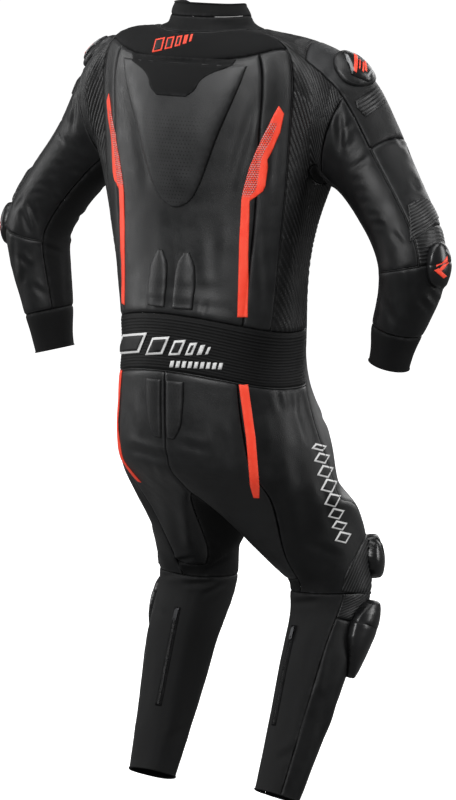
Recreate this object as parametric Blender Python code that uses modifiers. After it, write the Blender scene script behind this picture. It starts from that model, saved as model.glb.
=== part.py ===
"""A one-piece leather motorcycle race suit, empty but filled out as it is worn.

Metres, +Z up. The wearer would face -Y, with the right arm at -X. The origin is the middle of the
neck hole at the height of the shoulders, where the suit is carried.

The suit's surface is one coarse cage of rings, from the collar to the cuffs and hems, smoothed
once. The cage's faces are labelled with the pattern piece that they belong to. Each pattern piece
is then taken out of the smoothed surface, trimmed by half a seam gap along its edges and given the
thickness of its cloth. Whatever is sewn or stuck on a piece is cut out of the same surface and
moved out from it.
"""

import math
from collections import namedtuple

import bmesh
import bpy
from mathutils import Matrix, Vector
from mathutils.bvhtree import BVHTree

MM = 0.001
COLLECTION = "race_suit"

# --- Cloth and gaps ---------------------------------------------------------------------------

WALL = 2.0 * MM  # leather or stretch cloth with its mesh lining
SEAM_GAP = 0.3 * MM  # between the edges of two pieces that are sewn together
LIFT = 0.3 * MM  # between a piece and what is sewn on it

# --- The torso's rings ------------------------------------------------------------------------
# width: half width. back, front: depth behind and before the ring's middle, which lies axis
# forward of the neck's. z_back, z_side, z_front: heights. hips: how far the columns have moved
# from their places on the chest (0) to their places on the hips (1).

Ring = namedtuple("Ring", "name width back front axis z_back z_side z_front hips")
COLLAR = (
    Ring("top", 0.064, 0.058, 0.052, -0.010, 0.066, 0.063, 0.024, 0.0),
    Ring("band", 0.075, 0.067, 0.060, -0.007, 0.044, 0.044, 0.006, 0.0),
)
TORSO = (
    Ring("neck", 0.094, 0.088, 0.072, 0.000, 0.016, 0.020, -0.030, 0.0),
    Ring("shoulder", 0.205, 0.096, 0.092, -0.008, -0.030, 0.006, -0.075, 0.0),
    Ring("blade", 0.211, 0.096, 0.114, -0.016, -0.140, -0.135, -0.150, 0.0),
    Ring("armpit", 0.206, 0.093, 0.114, -0.020, -0.250, -0.245, -0.250, 0.0),
    Ring("rib", 0.192, 0.101, 0.138, -0.018, -0.360, -0.365, -0.360, 0.0),
    Ring("waist", 0.177, 0.134, 0.132, -0.001, -0.465, -0.497, -0.475, 0.2),
    Ring("belt", 0.174, 0.141, 0.160, -0.004, -0.562, -0.592, -0.590, 0.6),
    Ring("hip", 0.192, 0.164, 0.182, 0.019, -0.660, -0.685, -0.672, 1.0),
    Ring("seat", 0.201, 0.177, 0.162, 0.045, -0.733, -0.748, -0.718, 1.0),
    Ring("fork", 0.211, 0.139, 0.130, 0.067, -0.785, -0.803, -0.755, 1.0),
)
# Degrees round each half of a ring, from the middle of the back to the middle of the front
CHEST_COLUMNS = (0, 24, 47, 68, 86, 99, 112, 146, 180)
HIP_COLUMNS = (0, 23, 45, 58, 71, 84, 98, 140, 180)
CROTCH = (0.0, 0.045, -0.812)  # right, forward and up of the middle of the crotch
FIT_ROUNDS = 2  # of pushing the cage out against its smoothing

# --- The armhole ------------------------------------------------------------------------------
# Its eight corners on the torso's rings and columns, in the order of a sleeve's columns

Corner = namedtuple("Corner", "ring column right forward up")
ARMHOLE = (
    Corner("shoulder", 5, 0.190, 0.030, 0.006),
    Corner("shoulder", 6, 0.212, 0.082, -0.036),
    Corner("blade", 6, 0.232, 0.098, -0.120),
    Corner("armpit", 6, 0.218, 0.076, -0.205),
    Corner("armpit", 5, 0.213, 0.020, -0.236),
    Corner("armpit", 4, 0.226, -0.036, -0.206),
    Corner("blade", 4, 0.242, -0.050, -0.125),
    Corner("shoulder", 4, 0.220, -0.036, -0.024),
)

# --- Limbs: the middle and the size of each ring, from the body outwards -----------------------
# across, along: radii from side to side and from front to back. The angles are where the named
# edges of the pieces lie, from the back of the limb (0) over its outer side (90). raised: how much
# higher the right arm is carried than the table has it, and how much lower the left arm hangs.
# lean: how far below straight out to the side the sleeve points at that ring.

Sleeve = namedtuple("Sleeve", "name right forward up lean across along raised")
SLEEVE = (
    Sleeve("ball", 0.260, 0.040, -0.150, 18, 0.100, 0.079, 0 * MM),
    Sleeve("upper", 0.301, 0.042, -0.204, 44, 0.068, 0.073, 0 * MM),
    Sleeve("bicep", 0.354, 0.032, -0.268, 50, 0.060, 0.066, 0 * MM),
    Sleeve("elbow_top", 0.391, 0.022, -0.323, 60, 0.059, 0.061, 0 * MM),
    Sleeve("elbow", 0.406, 0.015, -0.368, 78, 0.058, 0.058, 2 * MM),
    Sleeve("forearm", 0.399, 0.014, -0.428, 96, 0.052, 0.052, 8 * MM),
    Sleeve("wrist", 0.378, 0.010, -0.492, 105, 0.043, 0.043, 17 * MM),
    Sleeve("cuff", 0.370, 0.008, -0.530, 105, 0.037, 0.037, 20 * MM),
    Sleeve("cuff_end", 0.364, 0.007, -0.556, 105, 0.035, 0.035, 20 * MM),
)
SLEEVE_COLUMNS = (90, 135, 180, 228, 270, 312, 0, 45)

Leg = namedtuple("Leg", "name right forward up across along inner_edge back_seam side_seam front_edge")
LEG = (
    Leg("thigh", 0.119, 0.115, -0.862, 0.094, 0.096, -42, 6, 122, 212),
    Leg("thigh_low", 0.143, 0.140, -0.925, 0.073, 0.079, -46, -8, 126, 216),
    Leg("knee_top", 0.145, 0.146, -0.978, 0.069, 0.072, -50, -14, 126, 230),
    Leg("knee", 0.1475, 0.132, -1.030, 0.065, 0.067, -50, -18, 116, 240),
    Leg("shin_top", 0.1485, 0.105, -1.085, 0.063, 0.064, -50, -18, 104, 248),
    Leg("calf", 0.146, 0.072, -1.165, 0.057, 0.059, -50, -18, 100, 250),
    Leg("ankle", 0.140, 0.014, -1.290, 0.045, 0.045, -50, -18, 100, 250),
    Leg("hem", 0.138, -0.002, -1.324, 0.042, 0.042, -50, -18, 100, 250),
)

# --- Pattern pieces ---------------------------------------------------------------------------
# The rings and columns between which each one lies. joined: one piece over both halves.

Piece = namedtuple("Piece", "name part upper lower first last joined")
PIECES = (
    Piece("collar_edge", "torso", "top", "band", 0, 8, True),
    Piece("collar_base", "torso", "band", "neck", 0, 8, True),
    Piece("yoke", "torso", "neck", "shoulder", 0, 3, True),
    Piece("back_panel", "torso", "shoulder", "waist", 0, 2, True),
    Piece("back_side", "torso", "shoulder", "waist", 2, 3, False),
    Piece("side_stretch", "torso", "neck", "armpit", 3, 5, False),
    Piece("side_stretch", "torso", "armpit", "waist", 3, 6, False),
    Piece("waist_stretch", "torso", "waist", "belt", 0, 6, True),
    Piece("front", "torso", "neck", "armpit", 5, 8, False),
    Piece("front", "torso", "armpit", "fork", 6, 8, False),
    Piece("front", "leg", "fork", "thigh_low", 6, 8, False),
    Piece("seat", "torso", "belt", "fork", 0, 2, False),
    Piece("seat", "leg", "fork", "thigh_low", 0, 2, False),
    Piece("thigh_outer", "torso", "belt", "fork", 2, 6, False),
    Piece("thigh_outer", "leg", "fork", "knee_top", 2, 6, False),
    Piece("crotch_stretch", "leg", "fork", "thigh_low", 8, 10, True),
    Piece("crotch_stretch", "leg", "thigh_low", "knee_top", 8, 12, True),
    Piece("knee_stretch", "leg", "thigh_low", "knee_top", 6, 8, False),
    Piece("knee_stretch", "leg", "knee_top", "knee", 4, 8, False),
    Piece("calf", "leg", "knee_top", "hem", 8, 14, False),
    Piece("shin", "leg", "knee", "hem", 4, 8, False),
    Piece("side_stretch", "sleeve", "armhole", "ball", 5, 7, False),
    Piece("shoulder", "sleeve", "armhole", "ball", 7, 10, False),
    Piece("shoulder", "sleeve", "ball", "upper", 7, 10, False),
    Piece("under_sleeve", "sleeve", "armhole", "ball", 2, 5, False),
    Piece("under_sleeve", "sleeve", "ball", "wrist", 3, 5, False),
    Piece("back_sleeve", "sleeve", "ball", "elbow", 5, 7, False),
    Piece("upper_sleeve", "sleeve", "ball", "upper", 10, 11, False),
    Piece("upper_sleeve", "sleeve", "upper", "elbow_top", 7, 11, False),
    Piece("elbow_stretch", "sleeve", "elbow_top", "elbow", 7, 11, False),
    Piece("forearm", "sleeve", "elbow", "wrist", 5, 11, False),
    Piece("cuff", "sleeve", "wrist", "cuff_end", 0, 8, False),
)

# --- What lies on the pieces --------------------------------------------------------------------
# A view looks at the suit against its facing direction. An outline is a row of bands down a view:
# up, and the outline's edges to the right of the view's origin. rise: how far the piece crowns
# above its edge there. All are drawn on the suit's right half and mirrored for the left.

View = namedtuple("View", "origin facing hint")
BACK = View((0, 0, 0), (0, -1, 0), (0, 0, 1))
FRONT = View((0, 0, 0), (0, 1, 0), (0, 0, 1))
HAUNCH = View((0, 0, 0), (0.595, -0.804, 0), (0, 0, 1))
CALF = View((0.1475, 0.096, -1.10), (-0.31, -0.95, 0), (0.03, 0.39, 0.92))
SHOULDER_TOP = View((0.272, 0.020, -0.048), (0.62, -0.22, 0.74), (-0.78, 0, 0.62))
ELBOW = View((0.445, 0.004, -0.362), (0.95, -0.28, 0.10), (0, 0, 1))
KNEE = View((0.190, 0.190, -0.922), (0.70, 0.70, 0.10), (0, 0, 1))
KNEE_SIDE = View((0.200, 0.140, -1.055), (0.80, 0.59, 0.06), (0, 0.28, 0.95))

Band = namedtuple("Band", "up left right rise")
HUMP = (
    Band(-0.034, -0.132, 0.132, 3 * MM),
    Band(-0.060, -0.124, 0.124, 10 * MM),
    Band(-0.100, -0.108, 0.108, 15 * MM),
    Band(-0.150, -0.086, 0.086, 18 * MM),
    Band(-0.205, -0.064, 0.064, 15 * MM),
    Band(-0.250, -0.044, 0.044, 9 * MM),
    Band(-0.275, -0.020, 0.020, 3 * MM),
)
TONGUE = (
    Band(-0.035, -0.092, 0.092, 0),
    Band(-0.046, -0.070, 0.070, 0),
    Band(-0.064, -0.052, 0.052, 0),
    Band(-0.080, -0.040, 0.040, 0),
    Band(-0.088, -0.028, 0.028, 0),
)
SPINE_PAD = (
    Band(-0.357, 0.024, 0.033, 1 * MM),
    Band(-0.377, 0.012, 0.044, 4 * MM),
    Band(-0.397, 0.009, 0.048, 5 * MM),
    Band(-0.454, 0.009, 0.048, 4 * MM),
)
BACK_STRIPE = (
    Band(-0.108, 0.178, 0.185, 0),
    Band(-0.140, 0.160, 0.182, 0),
    Band(-0.190, 0.143, 0.172, 0),
    Band(-0.240, 0.131, 0.164, 0),
    Band(-0.262, 0.130, 0.149, 0),
    Band(-0.285, 0.127, 0.142, 0),
    Band(-0.330, 0.120, 0.134, 0),
    Band(-0.455, 0.119, 0.133, 0),
)
SEAT_PAD = (
    Band(-0.578, 0.006, 0.040, 3 * MM),
    Band(-0.625, 0.006, 0.038, 4 * MM),
    Band(-0.665, 0.006, 0.030, 3 * MM),
    Band(-0.680, 0.007, 0.020, 1 * MM),
)
SEAT_STRIPE = (
    Band(-0.586, 0.042, 0.058, 0),
    Band(-0.673, 0.054, 0.070, 0),
    Band(-0.760, 0.061, 0.077, 0),
    Band(-0.785, 0.067, 0.077, 0),
)
ZIP_HALF = 6 * MM
SLIDER_LENGTH = 14 * MM
ZIP_RIDGE = 0.8 * MM
SLIDER_RISE = 2.2 * MM
FRONT_ZIP = (-0.045, -0.655)  # the heights of its ends
CALF_ZIP = (0.070, -0.100)
TAB = (22 * MM, 7 * MM, 1.2 * MM)  # a pull tab's length, width and thickness
TAB_CLEARANCE = 0.4 * MM
PULLS = {"front_zip": "front_zip_pull", "calf_zip_right": "calf_pull_right", "calf_zip_left": "calf_pull_left"}

# Moulded pieces are ovals. top, bottom: half heights above and below the view's origin. half: half
# width. edge: how far the rim stands proud. rise: the crown above it. lean: how much further its
# crown stands out at the top end than at the bottom one, from 0 to 1.
Mould = namedtuple("Mould", "name view top bottom half edge rise lean")
MOULDS = (
    Mould("shoulder_cup", SHOULDER_TOP, 0.034, 0.042, 0.048, 2.5 * MM, 9 * MM, 0.0),
    Mould("elbow_slider", ELBOW, 0.040, 0.036, 0.026, 4 * MM, 14 * MM, 0.2),
    Mould("knee_cup", KNEE, 0.040, 0.038, 0.036, 7 * MM, 20 * MM, 0.0),
    Mould("knee_slider", KNEE_SIDE, 0.066, 0.072, 0.036, 8 * MM, 22 * MM, 0.5),
)
MOULD_BANDS = 6
OVAL_END = 14  # degrees left off each end of an oval, so that it ends in a short flat
MOULD_SLICES = 4
HUMP_SLICES = 6
PAD_SLICES = 2
TONGUE_WALL = 1.2 * MM
STRIPE_WALL = 1.2 * MM
TAPE_WALL = 1.0 * MM
MARGIN = 0.050  # how far round an outline the surface is kept while it is cut
DEPTH = 0.215  # how far before or behind a view's origin the surface may lie
LEAST_FACING = 0.05  # cosine of the most a face may turn from the view
SNAP = 0.3 * MM  # a vertex this near a cut is taken to lie on it

# --- Finishes -------------------------------------------------------------------------------------

Finish = namedtuple("Finish", "colour roughness metallic")
FINISHES = {
    "leather": Finish((0.020, 0.021, 0.023), 0.42, 0.0),
    "red_leather": Finish((0.80, 0.045, 0.022), 0.40, 0.0),
    "stretch": Finish((0.015, 0.015, 0.017), 0.75, 0.0),
    "pad": Finish((0.055, 0.057, 0.060), 0.60, 0.0),
    "plastic": Finish((0.012, 0.012, 0.014), 0.22, 0.0),
    "metal": Finish((0.55, 0.56, 0.58), 0.28, 1.0),
}
FINISH_OF = {
    "collar_edge": "stretch",
    "side_stretch": "stretch",
    "waist_stretch": "stretch",
    "crotch_stretch": "stretch",
    "under_sleeve": "stretch",
    "elbow_stretch": "stretch",
    "knee_stretch": "stretch",
    "cuff": "stretch",
    "back_stripe": "red_leather",
    "seat_stripe": "red_leather",
    "seat_pad": "pad",
    "shoulder_cup": "plastic",
    "elbow_slider": "plastic",
    "knee_cup": "plastic",
    "knee_slider": "plastic",
    "front_zip": "metal",
    "calf_zip": "metal",
    "front_zip_pull": "metal",
    "calf_pull": "metal",
}


def main():
    """Build the suit and put it in its collection."""
    for item in list(bpy.data.objects):
        bpy.data.objects.remove(item)
    suit = bpy.data.collections.new(COLLECTION)
    bpy.context.scene.collection.children.link(suit)
    skin, names = build_skin()
    for index, name in enumerate(names):
        add_object(suit, name, cloth_piece(skin, index))
    add_back(suit, skin)
    add_panels(suit, skin)
    add_moulds(suit, skin)
    add_zips(suit, skin)


def at(right, forward, up):
    """A place, given from the wearer's own point of view."""
    return Vector((-right, -forward, up))


# --- The cage -----------------------------------------------------------------------------------


def ring_points(ring):
    """The nine points of the right half of a torso ring, from the centre back to the centre front."""
    points = []
    for chest, hips in zip(CHEST_COLUMNS, HIP_COLUMNS):
        degrees = chest + (hips - chest) * ring.hips
        turn = math.radians(degrees)
        behind = degrees < 90
        depth = ring.back if behind else ring.front
        height = ring.z_back if behind else ring.z_front
        right = ring.width * math.sin(turn) if 0 < degrees < 180 else 0.0
        forward = ring.axis - depth * math.cos(turn)
        up = ring.z_side + (height - ring.z_side) * math.cos(turn) ** 2
        points.append(at(right, forward, up))
    return points


def leg_columns(leg):
    """The angles of a leg ring's ten columns, spread evenly between the edges of its pieces."""
    inner, back, side, front = leg.inner_edge, leg.back_seam, leg.side_seam, leg.front_edge
    outer = [back + (side - back) * n / 4 for n in range(4)]
    return [inner, (inner + back) / 2, *outer, side, (side + front) / 2, front, (front + inner + 360) / 2]


def limb_ring(rows, n, columns):
    """The points of one ring of a sleeve or leg, square to the limb there."""
    row = rows[n]
    if isinstance(row, Sleeve):
        lean = math.radians(row.lean)
        outward, backward = at(math.sin(lean), 0, math.cos(lean)), at(0, -1, 0)
    else:
        before, after = rows[max(n - 1, 0)], rows[min(n + 1, len(rows) - 1)]
        along = at(after.right, after.forward, after.up) - at(before.right, before.forward, before.up)
        along.normalize()
        outward = at(1, 0, 0)
        outward = (outward - along * outward.dot(along)).normalized()
        backward = along.cross(outward)
    points = []
    for degrees in columns:
        turn = math.radians(degrees)
        step = outward * (row.across * math.sin(turn)) + backward * (row.along * math.cos(turn))
        points.append(at(row.right, row.forward, row.up) + step)
    return points


def piece_of(part, order, upper, column, count):
    """The index in PIECES of the piece that holds a face of the cage."""
    for index, piece in enumerate(PIECES):
        if piece.part != part or not order.index(piece.upper) <= upper < order.index(piece.lower):
            continue
        if any(piece.first <= place < piece.last for place in (column, column + count)):
            return index
    raise ValueError(f"no piece holds {part} row {order[upper]}, column {column}")


def bridge(bm, part, order, upper, above, below, closed):
    """Join two rings of the cage with quads and label each quad with its piece."""
    count = len(above) if closed else len(above) - 1
    for column in range(count):
        following = (column + 1) % len(above)
        corners = (above[column], below[column], below[following], above[following])
        if any(corner is None for corner in corners):
            continue
        face = bm.faces.new(corners)
        face.material_index = piece_of(part, order, upper, column, count)


def build_cage():
    """The right half of the suit as a cage of quads, open along the middle of the body."""
    bm = bmesh.new()
    raised = bm.verts.layers.float.new("raised")
    rings = COLLAR + TORSO
    order = [ring.name for ring in rings]
    rows = [[bm.verts.new(point) for point in ring_points(ring)] for ring in rings]
    armhole = []
    for corner in ARMHOLE:
        vert = rows[order.index(corner.ring)][corner.column]
        vert.co = at(corner.right, corner.forward, corner.up)
        armhole.append(vert)
    hole = rows[order.index("blade")][5]
    rows[order.index("blade")][5] = None
    bm.verts.remove(hole)
    for n in range(len(rows) - 1):
        bridge(bm, "torso", order, n, rows[n], rows[n + 1], closed=False)

    limbs = (
        ("sleeve", "armhole", armhole, SLEEVE, [SLEEVE_COLUMNS] * len(SLEEVE)),
        ("leg", "fork", [*rows[-1], bm.verts.new(at(*CROTCH))], LEG, [leg_columns(leg) for leg in LEG]),
    )
    for part, start, above, table, columns in limbs:
        order = [start, *(row.name for row in table)]
        for n, angles in enumerate(columns):
            below = [bm.verts.new(point) for point in limb_ring(table, n, angles)]
            for vert in below:
                vert[raised] = getattr(table[n], "raised", 0.0)
            bridge(bm, part, order, n, above, below, closed=True)
            above = below
    return bm


def evaluated(item):
    """An object's mesh as its modifiers leave it."""
    item.data.update()
    return item.evaluated_get(bpy.context.evaluated_depsgraph_get()).to_mesh()


def build_skin():
    """The whole suit's smoothed surface in triangles, and the name of each piece on it.

    Smoothing draws the cage in, so the cage is first pushed out towards where the tables have its
    corners. Each vertex keeps its own place and the direction out of the suit in two layers, and
    each face has the number of its piece as its material.
    """
    bm = build_cage()
    names = []
    number = {}
    for face in bm.faces:
        name = PIECES[face.material_index].name
        face.material_index = number.setdefault(name, len(number))
    joined = {number[piece.name] for piece in PIECES if piece.joined}
    for name in number:
        names.append(name if number[name] in joined else name + "_right")
    bmesh.ops.mirror(bm, geom=bm.faces[:] + bm.edges[:] + bm.verts[:], axis="X", merge_dist=0.01 * MM)
    left = {}
    for face in bm.faces:
        if face.calc_center_median().x > 0 and face.material_index not in joined:
            right = names[face.material_index]
            left.setdefault(right, len(names) + len(left))
            face.material_index = left[right]
    names += [right.replace("_right", "_left") for right in left]
    bmesh.ops.recalc_face_normals(bm, faces=bm.faces)
    raised = bm.verts.layers.float["raised"]
    for vert in bm.verts:
        vert.co.z += math.copysign(vert[raised], -vert.co.x)

    cage = bpy.data.meshes.new("cage")
    bm.to_mesh(cage)
    holder = bpy.data.objects.new("cage", cage)
    bpy.context.scene.collection.objects.link(holder)
    smoothing = holder.modifiers.new("smoothing", "SUBSURF")
    smoothing.levels = smoothing.render_levels = 1
    wanted = [vert.co.copy() for vert in cage.vertices]
    for _ in range(FIT_ROUNDS):
        for vert, target, smoothed in zip(cage.vertices, wanted, evaluated(holder).vertices):
            vert.co += target - smoothed.co
    bm.clear()
    bm.from_mesh(evaluated(holder))
    bpy.data.objects.remove(holder)

    bm.normal_update()
    place = bm.verts.layers.float_vector.new("place")
    out = bm.verts.layers.float_vector.new("out")
    for vert in bm.verts:
        vert[place] = vert.co
        vert[out] = vert.normal
    bmesh.ops.triangulate(bm, faces=bm.faces, quad_method="SHORT_EDGE")
    return bm, names


# --- From the surface to solids -----------------------------------------------------------------


def trim_edges(bm, distance):
    """Draw a sheet's open edges in, along the sheet."""
    steps = {}
    for edge in bm.edges:
        if not edge.is_boundary:
            continue
        face = edge.link_faces[0]
        ends = [loop.vert for loop in face.loops if loop.edge == edge]
        start = ends[0]
        along = (edge.other_vert(start).co - start.co).normalized()
        inward = face.normal.cross(along)
        for vert in edge.verts:
            steps.setdefault(vert, []).append(inward)
    for vert, inward in steps.items():
        total = sum(inward, Vector())
        vert.co += total * (distance * 2 / max(total.length_squared, 1.0)) if len(inward) > 1 else total * distance


def thicken(bm, low, high):
    """Turn a sheet into a closed solid between two heights above the skin, given for each vertex."""
    out = bm.verts.layers.float_vector["out"]
    base = {vert: vert.co.copy() for vert in bm.verts}
    grown = bmesh.ops.extrude_face_region(bm, geom=bm.faces[:])["geom"]
    tops = {item for item in grown if isinstance(item, bmesh.types.BMVert)}
    for vert in bm.verts:
        height = high(vert) if vert in tops else low(vert)
        vert.co += vert[out].normalized() * height
    bmesh.ops.triangulate(bm, faces=bm.faces)
    bmesh.ops.recalc_face_normals(bm, faces=bm.faces)


def cloth_piece(skin, index):
    """One pattern piece, cut out of the skin and given the thickness of its cloth inwards."""
    bm = skin.copy()
    others = [face for face in bm.faces if face.material_index != index]
    bmesh.ops.delete(bm, geom=others, context="FACES")
    slit = [e for e in bm.edges if all(abs(v.co.x) < 0.01 * MM and v.co.y < 0 and v.co.z > -0.05 for v in e.verts)]
    bmesh.ops.split_edges(bm, edges=[edge for edge in slit if not edge.is_boundary])
    bm.normal_update()
    trim_edges(bm, SEAM_GAP / 2)
    thicken(bm, lambda vert: -WALL, lambda vert: 0.0)
    return bm


# --- What lies on the surface -------------------------------------------------------------------


class Frame:
    """A view's own axes, on the suit's right half (side 1) or mirrored for its left (side -1)."""

    def __init__(self, view, side=1):
        self.origin, facing, hint = (at(*triple) for triple in view)
        up = (hint - facing * hint.dot(facing) / facing.length_squared).normalized()
        self.facing, self.up = facing.normalized(), up
        self.across = self.up.cross(self.facing)
        for axis in (self.origin, self.facing, self.up, self.across):
            axis.x *= side

    def point(self, across, up):
        """A point of the view's plane."""
        return self.origin + self.across * across + self.up * up

    def seen(self, place):
        """How far across, up and in front of the view's origin a place is."""
        offset = place - self.origin
        return offset.dot(self.across), offset.dot(self.up), offset.dot(self.facing)


def outline_at(frame, bands, place):
    """Where a place is across an outline (0 to 1 between its edges), and the outline's rise there."""
    across, up, _ = frame.seen(place)
    up = min(max(up, bands[-1].up), bands[0].up)
    for upper, lower in zip(bands, bands[1:]):
        if up >= lower.up:
            share = (upper.up - up) / (upper.up - lower.up)
            left, right, rise = (a + (b - a) * share for a, b in zip(upper[1:], lower[1:]))
            return (across - left) / (right - left), rise
    raise ValueError("the bands of an outline run downwards")


def cut_out(surface, frame, bands, slices):
    """The part of a surface that lies inside an outline, cut along its bands and slices."""
    bm = surface.copy()
    bm.normal_update()
    left = min(band.left for band in bands) - MARGIN
    right = max(band.right for band in bands) + MARGIN
    away = []
    for face in bm.faces:
        across, up, depth = frame.seen(face.calc_center_median())
        near = left < across < right and bands[-1].up - MARGIN < up < bands[0].up + MARGIN
        if not near or abs(depth) > DEPTH or face.normal.dot(frame.facing) < LEAST_FACING:
            away.append(face)
    bmesh.ops.delete(bm, geom=away, context="FACES")

    for band in bands:
        everything = bm.faces[:] + bm.edges[:] + bm.verts[:]
        bmesh.ops.bisect_plane(
            bm, geom=everything, dist=SNAP, plane_co=frame.point(0, band.up), plane_no=frame.up
        )
    for upper, lower in zip(bands, bands[1:]):
        for number in range(slices + 1):
            share = number / slices
            top = frame.point(upper.left + (upper.right - upper.left) * share, upper.up)
            bottom = frame.point(lower.left + (lower.right - lower.left) * share, lower.up)
            strip = [f for f in bm.faces if lower.up < frame.seen(f.calc_center_median())[1] < upper.up]
            edges = {edge for face in strip for edge in face.edges}
            verts = {vert for face in strip for vert in face.verts}
            across = (top - bottom).cross(frame.facing).normalized()
            bmesh.ops.bisect_plane(bm, geom=[*strip, *edges, *verts], dist=SNAP, plane_co=top, plane_no=across)

    outside = []
    for face in bm.faces:
        middle = face.calc_center_median()
        share, _ = outline_at(frame, bands, middle)
        if not (0 < share < 1 and bands[-1].up < frame.seen(middle)[1] < bands[0].up):
            outside.append(face)
    bmesh.ops.delete(bm, geom=outside, context="FACES")
    bmesh.ops.triangulate(bm, faces=bm.faces)
    return bm


def dome(share):
    """A round crown's height at a place across it."""
    return math.sqrt(max(0.0, 4 * share * (1 - share)))


def ridge(share):
    """The height of a flat-topped ridge over the middle third."""
    return min(1.0, max(0.0, 3 * min(share, 1 - share)))


def crown(frame, bands, edge, profile):
    """A function for the height of a piece's upper face above the skin at each vertex."""

    def height(vert):
        share, rise = outline_at(frame, bands, vert.co)
        return LIFT + edge + rise * profile(share)

    return height


def lay(suit, name, surface, frame, bands, edge, slices, profile=dome):
    """Add one piece that lies on a surface inside an outline, and return its raised upper face."""
    sheet = cut_out(surface, frame, bands, slices)
    height = crown(frame, bands, edge, profile)
    upper = sheet.copy()
    out = upper.verts.layers.float_vector["out"]
    for vert in upper.verts:
        vert.co += vert[out].normalized() * height(vert)
    thicken(sheet, lambda vert: LIFT, height)
    add_object(suit, name, sheet)
    return upper


def both_sides():
    """The name endings and mirror signs of the two halves."""
    return (("_right", 1), ("_left", -1))


def add_back(suit, skin):
    """The aerodynamic hump and the yoke's tongue that is sewn to it."""
    frame = Frame(BACK)
    top = lay(suit, "back_hump", skin, frame, HUMP, WALL, HUMP_SLICES)
    lay(suit, "yoke_tongue", top, frame, TONGUE, TONGUE_WALL, 1)


def add_panels(suit, skin):
    """Pads and stripes sewn on the back and the seat."""
    for ending, side in both_sides():
        back, haunch = Frame(BACK, side), Frame(HAUNCH, side)
        lay(suit, "spine_pad" + ending, skin, back, SPINE_PAD, WALL, PAD_SLICES)
        lay(suit, "back_stripe" + ending, skin, back, BACK_STRIPE, STRIPE_WALL, 1)
        lay(suit, "seat_pad" + ending, skin, back, SEAT_PAD, WALL, PAD_SLICES)
        lay(suit, "seat_stripe" + ending, skin, haunch, SEAT_STRIPE, STRIPE_WALL, 1)


def oval(mould):
    """The outline of a moulded piece as bands."""
    bands = []
    for number in range(MOULD_BANDS + 1):
        turn = math.radians(OVAL_END + (180 - 2 * OVAL_END) * number / MOULD_BANDS)
        reach = mould.top if turn < math.pi / 2 else mould.bottom
        up, half = reach * math.cos(turn), mould.half * math.sin(turn)
        weight = 1 - mould.lean * (1 - math.cos(turn)) / 2
        bands.append(Band(up, -half, half, mould.rise * weight * math.sqrt(math.sin(turn))))
    return bands


def add_moulds(suit, skin):
    """The hard cups and sliders at the shoulders, elbows and knees."""
    for mould in MOULDS:
        for ending, side in both_sides():
            lay(suit, mould.name + ending, skin, Frame(mould.view, side), oval(mould), mould.edge, MOULD_SLICES)


def zip_bands(top, bottom):
    """The outline of a zip, with its slider as a bump at its top end."""
    return (
        Band(top, -ZIP_HALF, ZIP_HALF, SLIDER_RISE),
        Band(top - SLIDER_LENGTH, -ZIP_HALF, ZIP_HALF, SLIDER_RISE),
        Band(top - SLIDER_LENGTH - 3 * MM, -ZIP_HALF, ZIP_HALF, ZIP_RIDGE),
        Band(bottom, -ZIP_HALF, ZIP_HALF, ZIP_RIDGE),
    )


def add_zips(suit, skin):
    """The front zip and the two calf zips, each with its pull tab."""
    tree = BVHTree.FromBMesh(skin)
    zips = [("front_zip", Frame(FRONT), FRONT_ZIP)]
    zips += [("calf_zip" + ending, Frame(CALF, side), CALF_ZIP) for ending, side in both_sides()]
    for name, frame, (top, bottom) in zips:
        lay(suit, name, skin, frame, zip_bands(top, bottom), TAPE_WALL, 3, ridge)
        add_pull(suit, PULLS[name], tree, frame, top - 4 * MM)


def add_pull(suit, name, tree, frame, up):
    """A zip's pull tab, resting on its slider, with its object's origin on its hinge."""
    hits = []
    for across in (-TAB[1] / 2, TAB[1] / 2):
        start = frame.point(across, up) + frame.facing * DEPTH
        hits.append(tree.ray_cast(start, -frame.facing))
    place = (hits[0][0] + hits[1][0]) / 2
    normal = (hits[0][1] + hits[1][1]).normalized()
    down = (normal * frame.up.dot(normal) - frame.up).normalized()
    height = LIFT + TAPE_WALL + SLIDER_RISE + TAB_CLEARANCE + TAB[2] / 2
    turn = Matrix(((-down).cross(normal), -down, normal)).transposed().to_4x4()
    tab = add_object(suit, name, tab_plate())
    tab.matrix_world = Matrix.Translation(place + normal * height) @ turn


def tab_plate():
    """A pull tab hanging from the origin down -Y, with a hole near its end."""
    length, width, thick = TAB
    hole = width * 0.22
    bm = bmesh.new()
    levels = []
    for z in (-thick / 2, thick / 2):
        outer, inner = [], []
        for number in range(8):
            turn = math.radians(22.5 + 45 * number)
            x, y = math.cos(turn), math.sin(turn)
            middle = -width * 0.54 if y > 0 else -length + width * 0.5
            outer.append(bm.verts.new((x * width * 0.54, middle + y * width * 0.54, z)))
            inner.append(bm.verts.new((x * hole, -length + width * 0.6 + y * hole, z)))
        levels.append((outer, inner))
    (low_out, low_in), (high_out, high_in) = levels
    for n in range(8):
        m = (n + 1) % 8
        bm.faces.new((high_out[n], high_out[m], high_in[m], high_in[n]))
        bm.faces.new((low_out[m], low_out[n], low_in[n], low_in[m]))
        bm.faces.new((low_out[n], low_out[m], high_out[m], high_out[n]))
        bm.faces.new((low_in[m], low_in[n], high_in[n], high_in[m]))
    bmesh.ops.triangulate(bm, faces=bm.faces)
    return bm


# --- Objects ------------------------------------------------------------------------------------


def add_object(suit, name, bm):
    """Make a finished mesh one named object of the suit, with its own material."""
    mesh = bpy.data.meshes.new(name)
    bm.to_mesh(mesh)
    bm.free()
    mesh.materials.clear()
    mesh.materials.append(material_for(name))
    mesh.polygons.foreach_set("material_index", [0] * len(mesh.polygons))
    item = bpy.data.objects.new(name, mesh)
    suit.objects.link(item)
    return item


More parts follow.
